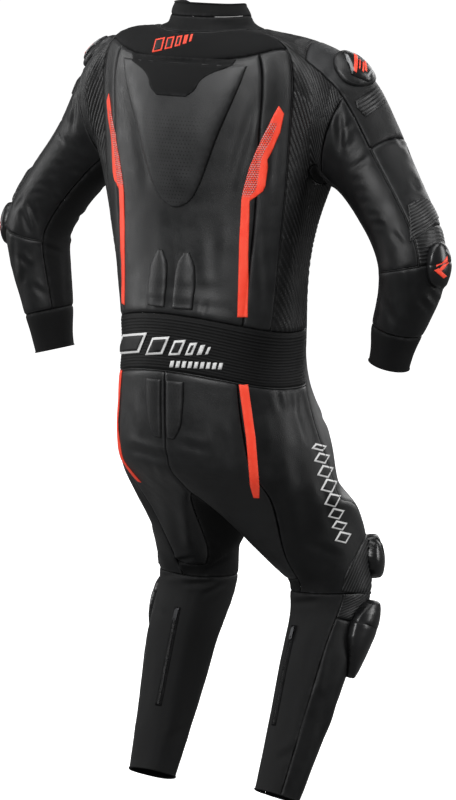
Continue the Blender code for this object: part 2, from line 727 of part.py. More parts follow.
def material_for(name):
    """A material of its own for a piece, in the finish of its kind."""
    stem = name.removesuffix("_right").removesuffix("_left")
    finish = FINISHES[FINISH_OF.get(stem, "leather")]
    material = bpy.data.materials.new(name)
    material.use_nodes = True
    shader = material.node_tree.nodes["Principled BSDF"]
    shader.inputs["Base Color"].default_value = (*finish.colour, 1.0)
    shader.inputs["Roughness"].default_value = finish.roughness
    shader.inputs["Metallic"].default_value = finish.metallic
    return material


main()
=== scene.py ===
"""The looks of a one-piece leather race suit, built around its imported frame.

Metres, +Z up. The wearer would face -Y, with the right arm at -X. Tables give places as right,
forward and up, from the wearer's own point of view.
"""

from __future__ import annotations

import logging
import math
import sys
from dataclasses import dataclass, field, replace
from enum import Enum
from typing import Callable, Iterable, Sequence

import bmesh
import bpy
import numpy as np
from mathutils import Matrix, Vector, noise
from mathutils.bvhtree import BVHTree
from mathutils.kdtree import KDTree

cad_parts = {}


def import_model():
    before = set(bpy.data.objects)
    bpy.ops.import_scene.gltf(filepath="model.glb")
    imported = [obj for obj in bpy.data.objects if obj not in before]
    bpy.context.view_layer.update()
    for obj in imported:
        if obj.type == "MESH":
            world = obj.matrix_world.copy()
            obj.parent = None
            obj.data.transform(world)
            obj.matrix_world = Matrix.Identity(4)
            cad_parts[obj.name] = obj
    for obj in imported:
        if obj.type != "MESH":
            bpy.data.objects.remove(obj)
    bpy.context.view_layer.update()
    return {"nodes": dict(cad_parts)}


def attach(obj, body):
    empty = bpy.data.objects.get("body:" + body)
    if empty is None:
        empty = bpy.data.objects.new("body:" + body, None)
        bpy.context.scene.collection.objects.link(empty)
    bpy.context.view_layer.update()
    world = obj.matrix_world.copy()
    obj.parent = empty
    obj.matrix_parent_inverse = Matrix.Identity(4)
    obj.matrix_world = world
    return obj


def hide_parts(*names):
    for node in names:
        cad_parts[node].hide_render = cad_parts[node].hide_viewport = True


LOG = logging.getLogger("race_suit")
MM = 0.001
BODY = "suit"
WALL = 2.0 * MM
LIFT = 0.3 * MM
SUNK_EDGE = 0.5 * MM
FIT_ROUNDS = 2
FIT_LEVELS = 3
SKIN_LEVELS = 4
LEAST_FACING = 0.05
MARGIN = 0.030
DEPTH = 0.215
SNAP = 0.15 * MM
RIB_STEP = 0.32
RIB_ROUNDS = 4
OVAL_BANDS = 13
OVAL_CUT = 14
Triple = tuple[float, float, float]


class Half(Enum):
    """A half of the suit, with its mirror sign."""

    RIGHT = 1
    LEFT = -1

    @property
    def ending(self) -> str:
        """The ending of the names on this half."""
        return "_right" if self is Half.RIGHT else "_left"


class Slot(Enum):
    """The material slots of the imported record."""

    LEATHER = "leather"
    RED = "red_leather"
    ACCORDION = "accordion"
    STRETCH = "stretch"
    PAD = "pad"
    PLASTIC = "plastic"
    METAL = "metal"


def at(right: float, forward: float, up: float) -> Vector:
    """A place, given from the wearer's own point of view."""
    return Vector((-right, -forward, up))


def stem(name: str) -> str:
    """A name without its half."""
    return name.removesuffix("_right").removesuffix("_left")


def smoothstep(low: float, high: float, value: np.ndarray) -> np.ndarray:
    """A soft step from 0 at low to 1 at high."""
    share = np.clip((value - low) / (high - low), 0.0, 1.0)
    return share * share * (3 - 2 * share)


def put(name: str, data: bpy.types.ID) -> bpy.types.Object:
    """A new object of some data, in the scene."""
    item = bpy.data.objects.new(name, data)
    bpy.context.scene.collection.objects.link(item)
    return item


def coat(mesh: bpy.types.Mesh, material: bpy.types.Material) -> None:
    """Give a whole mesh one material and smooth shading."""
    mesh.materials.clear()
    mesh.materials.append(material)
    mesh.polygons.foreach_set("material_index", np.zeros(len(mesh.polygons), np.int32))
    mesh.shade_smooth()


def evaluated(item: bpy.types.Object) -> bpy.types.Object:
    """An object as its modifiers leave it."""
    return item.evaluated_get(bpy.context.evaluated_depsgraph_get())


# --- The cage ------------------------------------------------------------------------------------


@dataclass(frozen=True)
class TorsoRing:
    """A ring of the body. hips: how far its columns have moved from the chest's to the hips' places."""

    name: str
    width: float
    back: float
    front: float
    axis: float
    z_back: float
    z_side: float
    z_front: float
    hips: float

    def points(self) -> list[Vector]:
        """The nine points of the right half, from the centre back to the centre front."""
        points = []
        for chest, hips in zip(CHEST_COLUMNS, HIP_COLUMNS):
            degrees = chest + (hips - chest) * self.hips
            turn = math.radians(degrees)
            depth = self.back if degrees < 90 else self.front
            height = self.z_back if degrees < 90 else self.z_front
            right = self.width * math.sin(turn) if 0 < degrees < 180 else 0.0
            forward = self.axis - depth * math.cos(turn)
            points.append(at(right, forward, self.z_side + (height - self.z_side) * math.cos(turn) ** 2))
        return points


@dataclass(frozen=True)
class SleeveRing:
    """A ring of the sleeve. raised: how far the right arm is carried up, and the left one down."""

    name: str
    right: float
    forward: float
    up: float
    lean: float
    across: float
    along: float
    raised: float = 0.0

    def points(self) -> list[Vector]:
        """The eight points round the sleeve."""
        lean = math.radians(self.lean)
        outward, backward = at(math.sin(lean), 0, math.cos(lean)), at(0, -1, 0)
        return oval_points(self, outward, backward, SLEEVE_COLUMNS)


@dataclass(frozen=True)
class LegRing:
    """A ring of the leg, with the angles of its seams and edges."""

    name: str
    right: float
    forward: float
    up: float
    across: float
    along: float
    inner_edge: float = -50
    back_seam: float = -18
    side_seam: float = 100
    front_edge: float = 250
    raised: float = 0.0

    def columns(self) -> list[float]:
        """The angles of the ring's ten columns, spread evenly between the edges of its pieces."""
        inner, back, side, front = self.inner_edge, self.back_seam, self.side_seam, self.front_edge
        outer = [back + (side - back) * n / 4 for n in range(4)]
        return [inner, (inner + back) / 2, *outer, side, (side + front) / 2, front, (front + inner + 360) / 2]

    def points(self, before: LegRing, after: LegRing) -> list[Vector]:
        """The ten points round the leg, square to the line between its neighbours.

        Args:
            before: the ring above, or this one at the top.
            after: the ring below, or this one at the foot.

        Returns:
            A point for each column.
        """
        along = at(after.right, after.forward, after.up) - at(before.right, before.forward, before.up)
        along.normalize()
        outward = at(1, 0, 0)
        outward = (outward - along * outward.dot(along)).normalized()
        return oval_points(self, outward, along.cross(outward), self.columns())


def oval_points(
    ring: SleeveRing | LegRing, outward: Vector, backward: Vector, columns: Sequence[float]
) -> list[Vector]:
    """The points of a limb's oval at the given angles, from its back over its outer side.

    Args:
        ring: the ring, with its middle and its two half widths.
        outward: the direction of its outer side.
        backward: the direction of its back.
        columns: the angles, in degrees from the back.

    Returns:
        A point for each angle.
    """
    middle = at(ring.right, ring.forward, ring.up)
    turns = [math.radians(degrees) for degrees in columns]
    return [
        middle + outward * (ring.across * math.sin(turn)) + backward * (ring.along * math.cos(turn)) for turn in turns
    ]


TORSO = (
    TorsoRing("top", 0.064, 0.058, 0.052, -0.010, 0.066, 0.063, 0.024, 0.0),
    TorsoRing("band", 0.075, 0.067, 0.060, -0.007, 0.044, 0.044, 0.006, 0.0),
    TorsoRing("neck", 0.094, 0.088, 0.072, 0.000, 0.016, 0.020, -0.030, 0.0),
    TorsoRing("shoulder", 0.205, 0.096, 0.092, -0.008, -0.030, 0.006, -0.075, 0.0),
    TorsoRing("blade", 0.211, 0.096, 0.114, -0.016, -0.140, -0.135, -0.150, 0.0),
    TorsoRing("armpit", 0.206, 0.093, 0.114, -0.020, -0.250, -0.245, -0.250, 0.0),
    TorsoRing("rib", 0.192, 0.101, 0.138, -0.018, -0.360, -0.365, -0.360, 0.0),
    TorsoRing("waist", 0.177, 0.134, 0.132, -0.001, -0.465, -0.497, -0.475, 0.2),
    TorsoRing("belt", 0.174, 0.141, 0.160, -0.004, -0.562, -0.592, -0.590, 0.6),
    TorsoRing("hip", 0.192, 0.164, 0.182, 0.019, -0.660, -0.685, -0.672, 1.0),
    TorsoRing("seat", 0.201, 0.177, 0.162, 0.045, -0.733, -0.748, -0.718, 1.0),
    TorsoRing("fork", 0.211, 0.139, 0.130, 0.067, -0.785, -0.803, -0.755, 1.0),
)
CHEST_COLUMNS = (0, 24, 47, 68, 86, 99, 112, 146, 180)
HIP_COLUMNS = (0, 23, 45, 58, 71, 84, 98, 140, 180)
CROTCH = (0.0, 0.045, -0.812)


@dataclass(frozen=True)
class Corner:
    """A corner of the armhole, on a ring and column of the body."""

    ring: str
    column: int
    right: float
    forward: float
    up: float


ARMHOLE = (
    Corner("shoulder", 5, 0.190, 0.030, 0.006),
    Corner("shoulder", 6, 0.212, 0.082, -0.036),
    Corner("blade", 6, 0.232, 0.098, -0.120),
    Corner("armpit", 6, 0.218, 0.076, -0.205),
    Corner("armpit", 5, 0.213, 0.020, -0.236),
    Corner("armpit", 4, 0.226, -0.036, -0.206),
    Corner("blade", 4, 0.242, -0.050, -0.125),
    Corner("shoulder", 4, 0.220, -0.036, -0.024),
)
SLEEVE = (
    SleeveRing("ball", 0.260, 0.040, -0.150, 18, 0.100, 0.079, 0 * MM),
    SleeveRing("upper", 0.301, 0.042, -0.204, 44, 0.068, 0.073, 0 * MM),
    SleeveRing("bicep", 0.354, 0.032, -0.268, 50, 0.060, 0.066, 0 * MM),
    SleeveRing("elbow_top", 0.391, 0.022, -0.323, 60, 0.059, 0.061, 0 * MM),
    SleeveRing("elbow", 0.406, 0.015, -0.368, 78, 0.058, 0.058, 2 * MM),
    SleeveRing("forearm", 0.399, 0.014, -0.428, 96, 0.052, 0.052, 8 * MM),
    SleeveRing("wrist", 0.378, 0.010, -0.492, 105, 0.043, 0.043, 17 * MM),
    SleeveRing("cuff", 0.370, 0.008, -0.530, 105, 0.037, 0.037, 20 * MM),
    SleeveRing("cuff_end", 0.364, 0.007, -0.556, 105, 0.035, 0.035, 20 * MM),
)
SLEEVE_COLUMNS = (90, 135, 180, 228, 270, 312, 0, 45)
LEG = (
    LegRing("thigh", 0.119, 0.115, -0.862, 0.094, 0.096, -42, 6, 122, 212),
    LegRing("thigh_low", 0.143, 0.140, -0.925, 0.073, 0.079, -46, -8, 126, 216),
    LegRing("knee_top", 0.145, 0.146, -0.978, 0.069, 0.072, -50, -14, 126, 230),
    LegRing("knee", 0.1475, 0.132, -1.030, 0.065, 0.067, -50, -18, 116, 240),
    LegRing("shin_top", 0.1485, 0.105, -1.085, 0.063, 0.064, -50, -18, 104, 248),
    LegRing("calf", 0.146, 0.072, -1.165, 0.057, 0.059),
    LegRing("ankle", 0.140, 0.014, -1.290, 0.045, 0.045),
    LegRing("hem", 0.138, -0.002, -1.324, 0.042, 0.042),
)


@dataclass(frozen=True)
class Panel:
    """The rings and columns between which a part of a pattern piece lies."""

    name: str
    part: str
    upper: str
    lower: str
    first: int
    last: int
    joined: bool = False


PANELS = (
    Panel("collar_edge", "torso", "top", "band", 0, 8, True),
    Panel("collar_base", "torso", "band", "neck", 0, 8, True),
    Panel("yoke", "torso", "neck", "shoulder", 0, 3, True),
    Panel("back_panel", "torso", "shoulder", "waist", 0, 2, True),
    Panel("back_side", "torso", "shoulder", "waist", 2, 3),
    Panel("side_stretch", "torso", "neck", "armpit", 3, 5),
    Panel("side_stretch", "torso", "armpit", "waist", 3, 6),
    Panel("waist_stretch", "torso", "waist", "belt", 0, 6, True),
    Panel("front", "torso", "neck", "armpit", 5, 8),
    Panel("front", "torso", "armpit", "fork", 6, 8),
    Panel("front", "leg", "fork", "thigh_low", 6, 8),
    Panel("seat", "torso", "belt", "fork", 0, 2),
    Panel("seat", "leg", "fork", "thigh_low", 0, 2),
    Panel("thigh_outer", "torso", "belt", "fork", 2, 6),
    Panel("thigh_outer", "leg", "fork", "knee_top", 2, 6),
    Panel("crotch_stretch", "leg", "fork", "thigh_low", 8, 10, True),
    Panel("crotch_stretch", "leg", "thigh_low", "knee_top", 8, 12, True),
    Panel("knee_stretch", "leg", "thigh_low", "knee_top", 6, 8),
    Panel("knee_stretch", "leg", "knee_top", "knee", 4, 8),
    Panel("calf", "leg", "knee_top", "hem", 8, 14),
    Panel("shin", "leg", "knee", "hem", 4, 8),
    Panel("side_stretch", "sleeve", "armhole", "ball", 5, 7),
    Panel("shoulder", "sleeve", "armhole", "ball", 7, 10),
    Panel("shoulder", "sleeve", "ball", "upper", 7, 10),
    Panel("under_sleeve", "sleeve", "armhole", "ball", 2, 5),
    Panel("under_sleeve", "sleeve", "ball", "wrist", 3, 5),
    Panel("back_sleeve", "sleeve", "ball", "elbow", 5, 7),
    Panel("upper_sleeve", "sleeve", "ball", "upper", 10, 11),
    Panel("upper_sleeve", "sleeve", "upper", "elbow_top", 7, 11),
    Panel("elbow_stretch", "sleeve", "elbow_top", "elbow", 7, 11),
    Panel("forearm", "sleeve", "elbow", "wrist", 5, 11),
    Panel("cuff", "sleeve", "wrist", "cuff_end", 0, 8),
)


@dataclass
class Cage:
    """The suit's coarse cage of rings, its faces labelled with the pattern pieces they belong to."""

    bm: bmesh.types.BMesh = field(default_factory=bmesh.new)
    names: list[str] = field(default_factory=list)
    join: tuple[float, float] = (0.0, 0.0)

    def build(self) -> None:
        """Build the right half, then mirror it, raise the right arm and lower the left one."""
        self.raised = self.bm.verts.layers.float.new("raised")
        self.cut = self.bm.loops.layers.uv.new("cut")
        order = [ring.name for ring in TORSO]
        ring = [self.bm.verts.new(point) for point in TORSO[0].points()]
        for pair in zip(ring, ring[1:]):
            self.bm.edges.new(pair)
        rings, down = [ring], [0.0] * len(ring)
        for number, row in enumerate(TORSO[1:]):
            places = row.points()
            for corner in ARMHOLE:
                if corner.ring == row.name:
                    places[corner.column] = at(corner.right, corner.forward, corner.up)
            ring, down = self.grow("torso", order, number, ring, down, places, closed=False)
            rings.append(ring)
        armhole = [rings[order.index(corner.ring)][corner.column] for corner in ARMHOLE]
        middle = rings[order.index("blade")][5]
        bmesh.ops.delete(self.bm, geom=[middle], context="VERTS")

        crotch = self.bm.verts.new(at(*CROTCH))
        self.bm.edges.new((rings[-1][-1], crotch))
        self.bm.edges.new((crotch, rings[-1][0]))
        self.grow_limb("sleeve", "armhole", armhole, SLEEVE, [row.points() for row in SLEEVE])
        rows = [LEG[0], *LEG, LEG[-1]]
        legs = [row.points(rows[n], rows[n + 2]) for n, row in enumerate(LEG)]
        self.grow_limb("leg", "fork", [*rings[-1], crotch], LEG, legs)
        self.mirror()

    def grow_limb(self, part: str, start: str, ring: list, table: Sequence, places: list) -> None:
        """Extrude a closed loop of the body ring by ring into a limb.

        Args:
            part: the limb that the rings belong to.
            start: the name of the loop that it grows from.
            ring: the loop's vertices.
            table: the limb's rings, from the body outwards.
            places: the points of each of them.
        """
        order = [start, *(row.name for row in table)]
        down = [0.0] * len(ring)
        for number, row in enumerate(table):
            ring, down = self.grow(part, order, number, ring, down, places[number], closed=True)
            for vert in ring:
                vert[self.raised] = row.raised

    def grow(
        self,
        part: str,
        order: list[str],
        number: int,
        above: list[bmesh.types.BMVert],
        down: list[float],
        places: list[Vector],
        closed: bool,
    ) -> tuple[list[bmesh.types.BMVert], list[float]]:
        """Extrude a ring to the places of the next one, and label and unroll its new faces.

        Args:
            part: the part of the suit that the rings belong to.
            order: the names of the part's rings.
            number: the index of the upper ring in that order.
            above: the upper ring's vertices.
            down: how far each of them lies down its column.
            places: where the next ring's vertices go.
            closed: whether the ring runs all the way round.

        Returns:
            The new ring's vertices, and how far each lies down its column.
        """
        following = above[1:] + above[:1] if closed else above[1:]
        edges = [self.bm.edges.get(pair) for pair in zip(above, following)]
        grown = set(bmesh.ops.extrude_edge_only(self.bm, edges=edges)["geom"])
        below = []
        for vert, place in zip(above, places):
            twin = next(edge.other_vert(vert) for edge in vert.link_edges if edge.other_vert(vert) in grown)
            twin.co = place
            below.append(twin)
        deeper = [depth + (b.co - a.co).length for depth, a, b in zip(down, above, below)]
        upper_arc, lower_arc = self.arcs(above, closed), self.arcs(below, closed)
        count = len(edges)
        for column in range(count):
            after = (column + 1) % len(above)
            corners = (above[column], above[after], below[column], below[after])
            face = next(f for f in corners[0].link_faces if all(vert in f.verts for vert in corners))
            face.material_index = self.label(part, order, number, column, count)
            panel = PANELS[face.material_index]
            first = panel.first % count if closed else panel.first
            single = sum(other.name == panel.name for other in PANELS) == 1
            for loop in face.loops:
                low = loop.vert in (below[column], below[after])
                place = column + (loop.vert in (above[after], below[after]))
                arc, depth = (lower_arc, deeper) if low else (upper_arc, down)
                around = arc[place] - arc[first] + (arc[-1] if closed and column < first else 0.0)
                start = down[place % len(down)] if single and order[number] == panel.upper else 0.0
                loop[self.cut].uv = (around, depth[place % len(down)] - start)
                if part == "sleeve" and panel.name == "side_stretch":
                    loop[self.cut].uv = (self.join[0] + depth[place % len(down)], self.join[1] - around)
        if order[number + 1] == "armpit":
            self.join = (lower_arc[4] - lower_arc[3], deeper[4])
        return below, deeper

    @staticmethod
    def arcs(ring: list, closed: bool) -> list[float]:
        """How far along a ring each of its vertices lies, and its whole length at the end if it is closed."""
        arcs = [0.0]
        following = ring[1:] + ring[:1] if closed else ring[1:]
        for a, b in zip(ring, following):
            arcs.append(arcs[-1] + (b.co - a.co).length)
        return arcs

    @staticmethod
    def label(part: str, order: list[str], upper: int, column: int, count: int) -> int:
        """The index of the panel that holds a face.

        Args:
            part: the part of the suit that it is on.
            order: the names of the part's rings.
            upper: the index of the ring above it.
            column: its place round the ring.
            count: how many faces the ring has.

        Returns:
            The panel's place in PANELS.
        """
        for index, panel in enumerate(PANELS):
            if panel.part != part or not order.index(panel.upper) <= upper < order.index(panel.lower):
                continue
            if any(panel.first <= place < panel.last for place in (column, column + count)):
                return index
        raise ValueError(f"no panel holds {part} row {order[upper]}, column {column}")

    def settle(self) -> None:
        """Number the corners, edges and faces by their places, so that every run gives the same mesh."""
        ranks = {vert: rank for rank, vert in enumerate(sorted(self.bm.verts, key=lambda vert: vert.co[:]))}
        self.bm.verts.sort(key=ranks.get)
        self.bm.verts.index_update()
        for parts in (self.bm.edges, self.bm.faces):
            order = sorted(parts, key=lambda part: sorted(vert.index for vert in part.verts))
            ranks = {part: rank for rank, part in enumerate(order)}
            parts.sort(key=ranks.get)
            parts.index_update()

    def mirror(self) -> None:
        """Number the pieces by name, mirror the right half and name the left half's pieces."""
        self.settle()
        number: dict[str, int] = {}
        for face in self.bm.faces:
            face.material_index = number.setdefault(PANELS[face.material_index].name, len(number))
        joined = {number[panel.name] for panel in PANELS if panel.joined}
        self.names = [name if number[name] in joined else name + "_right" for name in number]
        everything = self.bm.faces[:] + self.bm.edges[:] + self.bm.verts[:]
        bmesh.ops.mirror(self.bm, geom=everything, axis="X", merge_dist=0.01 * MM)
        self.settle()
        left: dict[str, int] = {}
        for face in self.bm.faces:
            if face.calc_center_median().x > 0 and face.material_index not in joined:
                right = self.names[face.material_index]
                face.material_index = left.setdefault(right, len(self.names) + len(left))
        self.names += [right.replace("_right", "_left") for right in left]
        bmesh.ops.recalc_face_normals(self.bm, faces=self.bm.faces)
        for vert in self.bm.verts:
            vert.co.z += math.copysign(vert[self.raised], -vert.co.x)


# --- Views ---------------------------------------------------------------------------------------


@dataclass(frozen=True)
class View:
    """A direction to look at the suit from, given as right, forward and up.

    shift: millimetres across and up from its origin. turn: degrees its up leans over towards across.
    """

    origin: Triple
    facing: Triple
    hint: Triple = (0, 0, 1)
    shift: tuple[float, float] = (0.0, 0.0)
    turn: float = 0.0

    def moved(self, across: float, up: float, turn: float = 0.0) -> View:
        """The same view, moved by millimetres across and up, and turned by degrees."""
        return replace(self, shift=(self.shift[0] + across, self.shift[1] + up), turn=turn)


BACK = View((0, 0, 0), (0, -1, 0))
FRONT = View((0, 0, 0), (0, 1, 0))
HAUNCH = View((0, 0, 0), (0.595, -0.804, 0))
CALF = View((0.1475, 0.096, -1.10), (-0.31, -0.95, 0), (0.03, 0.39, 0.92))
SHOULDER_TOP = View((0.272, 0.020, -0.048), (0.62, -0.22, 0.74), (-0.78, 0, 0.62))
CUP_TOP = SHOULDER_TOP.moved(14.0, 1.0)
PLATE_TOP = SHOULDER_TOP.moved(-5.0, -5.0)
SHOULDER_FOLDS = View((0.312, 0.0285, -0.0895), (0.85, -0.10, 0.52), (-0.52, -0.26, 0.81))
ELBOW_FOLDS = View((0.4349, 0.0124, -0.2809), (0.84, -0.12, 0.53), (-0.53, -0.21, 0.82))
ELBOW = View((0.445, 0.004, -0.362), (0.95, -0.28, 0.10), shift=(9.0, 0.0))
KNEE = View((0.190, 0.190, -0.922), (0.70, 0.70, 0.10))
KNEE_SIDE = View((0.200, 0.140, -1.055), (0.80, 0.59, 0.06), (0, 0.28, 0.95))
QUARTER = View((0.0183, 0.01354, -0.633), (0.5867, -0.7929, 0.165))


class Sight:
    """A view's own axes, on one half of the suit."""

    def __init__(self, view: View, half: Half = Half.RIGHT) -> None:
        """Work out the axes.

        Args:
            view: the view, as it is on the right half.
            half: the half of the suit that it looks at.
        """
        self.half = half
        self.origin, facing, hint = at(*view.origin), at(*view.facing), at(*view.hint)
        up = (hint - facing * hint.dot(facing) / facing.length_squared).normalized()
        across = up.cross(facing.normalized())
        self.origin += (across * view.shift[0] + up * view.shift[1]) * MM
        cos, sin = math.cos(math.radians(view.turn)), math.sin(math.radians(view.turn))
        self.facing, self.up, self.across = facing.normalized(), up * cos + across * sin, across * cos - up * sin
        for axis in (self.origin, self.facing, self.up, self.across):
            axis.x *= half.value

    def point(self, across: float, up: float) -> Vector:
        """A point of the view's plane."""
        return self.origin + self.across * across + self.up * up

    def seen(self, place: Vector) -> Triple:
        """How far across, up and in front of the view's origin a place is."""
        offset = place - self.origin
        return offset.dot(self.across), offset.dot(self.up), offset.dot(self.facing)

    def seen_all(self, places: np.ndarray) -> np.ndarray:
        """The same for an array of places, as rows of across, up and in front."""
        axes = np.array([self.across, self.up, self.facing])
        return (places - np.array(self.origin)) @ axes.T


# --- Creases -------------------------------------------------------------------------------------


@dataclass(frozen=True)
class Crease:
    """A fold pressed into a piece: a trough from one end to the other with a soft ridge beside it.

    Places are millimetres across and up in its view. side: which side the ridge is on. straight:
    the view isn't mirrored for the left half.
    """

    pieces: tuple[str, ...]
    view: View
    start: tuple[float, float]
    end: tuple[float, float]
    width: float
    depth: float
    bow: float = 0.0
    side: int = 1
    halves: tuple[Half, ...] = (Half.RIGHT, Half.LEFT)
    straight: bool = False

    def press(self, seen: np.ndarray) -> np.ndarray:
        """How far each seen place moves outwards, in metres."""
        a, b = np.array(self.start) * MM, np.array(self.end) * MM
        along = b - a
        length = max(float(np.hypot(*along)), 1 * MM)
        along = along / length
        normal = np.array((-along[1], along[0]))
        offset = seen[:, :2] - a
        share = offset @ along / length
        bowed = self.bow * MM * (1 - (2 * share - 1) ** 2)
        far = (offset @ normal - bowed) / (self.width * MM)
        taper = np.clip(np.minimum(share, 1 - share) / 0.35, 0.0, 1.0)
        taper = np.where((share > 0) & (share < 1), taper * taper * (3 - 2 * taper), 0.0)
        trough = -np.exp(-(far**2))
        ridge = 0.75 * np.exp(-((far - 1.7 * self.side) ** 2)) + 0.3 * np.exp(-((far + 1.9 * self.side) ** 2))
        return (trough + ridge) * taper * self.depth * MM


# --- The skin ------------------------------------------------------------------------------------


@dataclass
class Skin:
    """The suit's whole outer surface, smoothed from its cage and creased."""

    cage: Cage
    creases: tuple[Crease, ...]

    def build(self) -> None:
        """Smooth the cage, press the seams and creases in and keep what the other pieces need."""
        self.cage.build()
        self.names = self.cage.names
        mesh = bpy.data.meshes.new("skin")
        self.cage.bm.to_mesh(mesh)
        self.holder = put("skin", mesh)
        smoothing = self.holder.modifiers.new("smoothing", "SUBSURF")
        smoothing.levels = smoothing.render_levels = FIT_LEVELS
        wanted = [vert.co.copy() for vert in mesh.vertices]
        for _ in range(FIT_ROUNDS):
            mesh.update()
            for vert, target, smoothed in zip(mesh.vertices, wanted, evaluated(self.holder).to_mesh().vertices):
                vert.co += target - smoothed.co
        smoothing.levels = smoothing.render_levels = SKIN_LEVELS
        self.mesh = bpy.data.meshes.new_from_object(evaluated(self.holder))
        self.holder.modifiers.clear()
        self.holder.data = self.mesh
        self.read()
        self.press()

    def read(self) -> None:
        """Read the mesh's places, normals and labels into arrays."""
        mesh = self.mesh
        self.places = vectors(mesh.vertices, "co")
        self.normals = vectors(mesh.vertices, "normal")
        self.labels = np.zeros(len(mesh.polygons), np.int32)
        mesh.polygons.foreach_get("material_index", self.labels)
        self.corner_vert = np.zeros(len(mesh.loops), np.int32)
        mesh.loops.foreach_get("vertex_index", self.corner_vert)
        self.corner_label = np.repeat(self.labels, 4)
        low = np.full(len(self.places), len(self.names))
        high = np.full(len(self.places), -1)
        np.minimum.at(low, self.corner_vert, self.corner_label)
        np.maximum.at(high, self.corner_vert, self.corner_label)
        on_seam = np.flatnonzero(low != high)
        tree = KDTree(len(on_seam))
        for index in on_seam:
            tree.insert(mesh.vertices[index].co, int(index))
        tree.balance()
        self.seam = np.array([tree.find(vert.co)[2] for vert in mesh.vertices])

    def wearing(self, stems: Iterable[str], half: Half) -> np.ndarray:
        """Which vertices lie on pieces of these stems, on one half or in the middle.

        Args:
            stems: the names of the pieces, without their endings.
            half: the half to look on.

        Returns:
            True for each vertex that does.
        """
        wanted = [
            number
            for number, name in enumerate(self.names)
            if stem(name) in stems and (name == stem(name) or name.endswith(half.ending))
        ]
        mask = np.zeros(len(self.places), bool)
        mask[self.corner_vert[np.isin(self.corner_label, wanted)]] = True
        return mask

    def press(self) -> None:
        """Press the seams and creases into the skin, and give it a soft hide's unevenness.

        A seam is a narrow dip with a low swell beside it, and the leather sways slowly and puckers
        near its seams. Distances from a seam are in millimetres here.
        """
        far = self.seam / MM
        offset = (-0.8 * np.exp(-((far / 2.2) ** 2)) + 0.75 * (far / 9.0) * np.exp(1 - far / 9.0)) * MM
        places = [Vector(place) for place in self.places]
        sway = np.array([noise.noise(place * 14.0) + 0.5 * noise.noise(place * 37.0) for place in places])
        offset += sway * 0.6 * MM
        pucker = np.array([noise.noise(place * 95.0) for place in places])
        offset += pucker * 0.55 * MM * np.exp(-far / 14.0) * np.clip(far / 3.0, 0.0, 1.0)
        for crease in self.creases:
            for half in crease.halves:
                mask = self.wearing(crease.pieces, half)
                sight = Sight(crease.view, Half.RIGHT if crease.straight else half)
                mask &= self.normals @ np.array(sight.facing) > LEAST_FACING
                moved = crease.press(sight.seen_all(self.places[mask]))
                offset[mask] += moved * (1.0 if half is Half.RIGHT else 0.85)
        offset += 0.4 * MM
        self.places = self.places + self.normals * offset[:, None]
        self.mesh.vertices.foreach_set("co", self.places.ravel())
        self.mesh.update()
        self.normals = vectors(self.mesh.vertices, "normal")
        layer = self.mesh.attributes.new("seam", "FLOAT", "POINT")
        layer.data.foreach_set("value", self.seam.astype(np.float32))
        self.cut_places = np.zeros(len(self.mesh.loops) * 2)
        self.mesh.uv_layers["cut"].data.foreach_get("uv", self.cut_places)
        self.centres = vectors(self.mesh.polygons, "center")
        self.facings = vectors(self.mesh.polygons, "normal")

    def separate(self) -> dict[str, bpy.types.Object]:
        """Split a copy of the skin into its pieces, by name."""
        whole = put("cloth", self.mesh.copy())
        whole.data.materials.clear()
        for name in self.names:
            whole.data.materials.append(bpy.data.materials.new("piece." + name))
        whole.data.polygons.foreach_set("material_index", self.labels)
        bpy.ops.object.select_all(action="DESELECT")
        bpy.context.view_layer.objects.active = whole
        whole.select_set(True)
        bpy.ops.object.mode_set(mode="EDIT")
        bpy.ops.mesh.select_all(action="SELECT")
        bpy.ops.mesh.separate(type="MATERIAL")
        bpy.ops.object.mode_set(mode="OBJECT")
        found = {}
        for item in bpy.context.selected_objects:
            used = item.data.materials[item.data.polygons[0].material_index].name.removeprefix("piece.")
            found[used] = item
        return found

    def cut(self, sight: Sight, bands: Sequence[Band]) -> bmesh.types.BMesh:
        """The part of the skin inside an outline, its outward directions kept in the layer out.

        Args:
            sight: the view, on one half, that the outline is given in.
            bands: the outline's edges at each height, from the top down.

        Returns:
            The faces inside it, cut along it.
        """
        seen = sight.seen_all(self.centres)
        left = min(band.left for band in bands) - MARGIN
        right = max(band.right for band in bands) + MARGIN
        keep = (seen[:, 0] > left) & (seen[:, 0] < right) & (np.abs(seen[:, 2]) < DEPTH)
        keep &= (seen[:, 1] > bands[-1].up - MARGIN) & (seen[:, 1] < bands[0].up + MARGIN)
        keep &= self.facings @ np.array(sight.facing) > LEAST_FACING
        bm = bmesh.new()
        patch = self.patch(keep)
        bm.from_mesh(patch)
        bpy.data.meshes.remove(patch)
        return trimmed(bm, sight, bands)

    def patch(self, keep: np.ndarray) -> bpy.types.Mesh:
        """A mesh of some of the skin's faces, with their seams, unrolled places and outward directions."""
        used, corners = np.unique(self.corner_vert.reshape(-1, 4)[keep], return_inverse=True)
        mesh = bpy.data.meshes.new("patch")
        mesh.from_pydata(self.places[used].tolist(), [], corners.reshape(-1, 4).tolist())
        mesh.uv_layers.new(name="cut").data.foreach_set("uv", self.cut_places.reshape(-1, 4, 2)[keep].ravel())
        mesh.attributes.new("seam", "FLOAT", "POINT").data.foreach_set("value", self.seam[used])
        mesh.attributes.new("out", "FLOAT_VECTOR", "POINT").data.foreach_set("vector", self.normals[used].ravel())
        return mesh


def vectors(items: bpy.types.bpy_prop_collection, attribute: str) -> np.ndarray:
    """A vector attribute of a mesh's items as rows."""
    values = np.zeros(len(items) * 3)
    items.foreach_get(attribute, values)
    return values.reshape(-1, 3)


# --- Outlines ------------------------------------------------------------------------------------


@dataclass(frozen=True)
class Band:
    """A line across an outline: its height, its two ends, and how far the piece crowns there."""

    up: float
    left: float
    right: float
    rise: float = 0.0


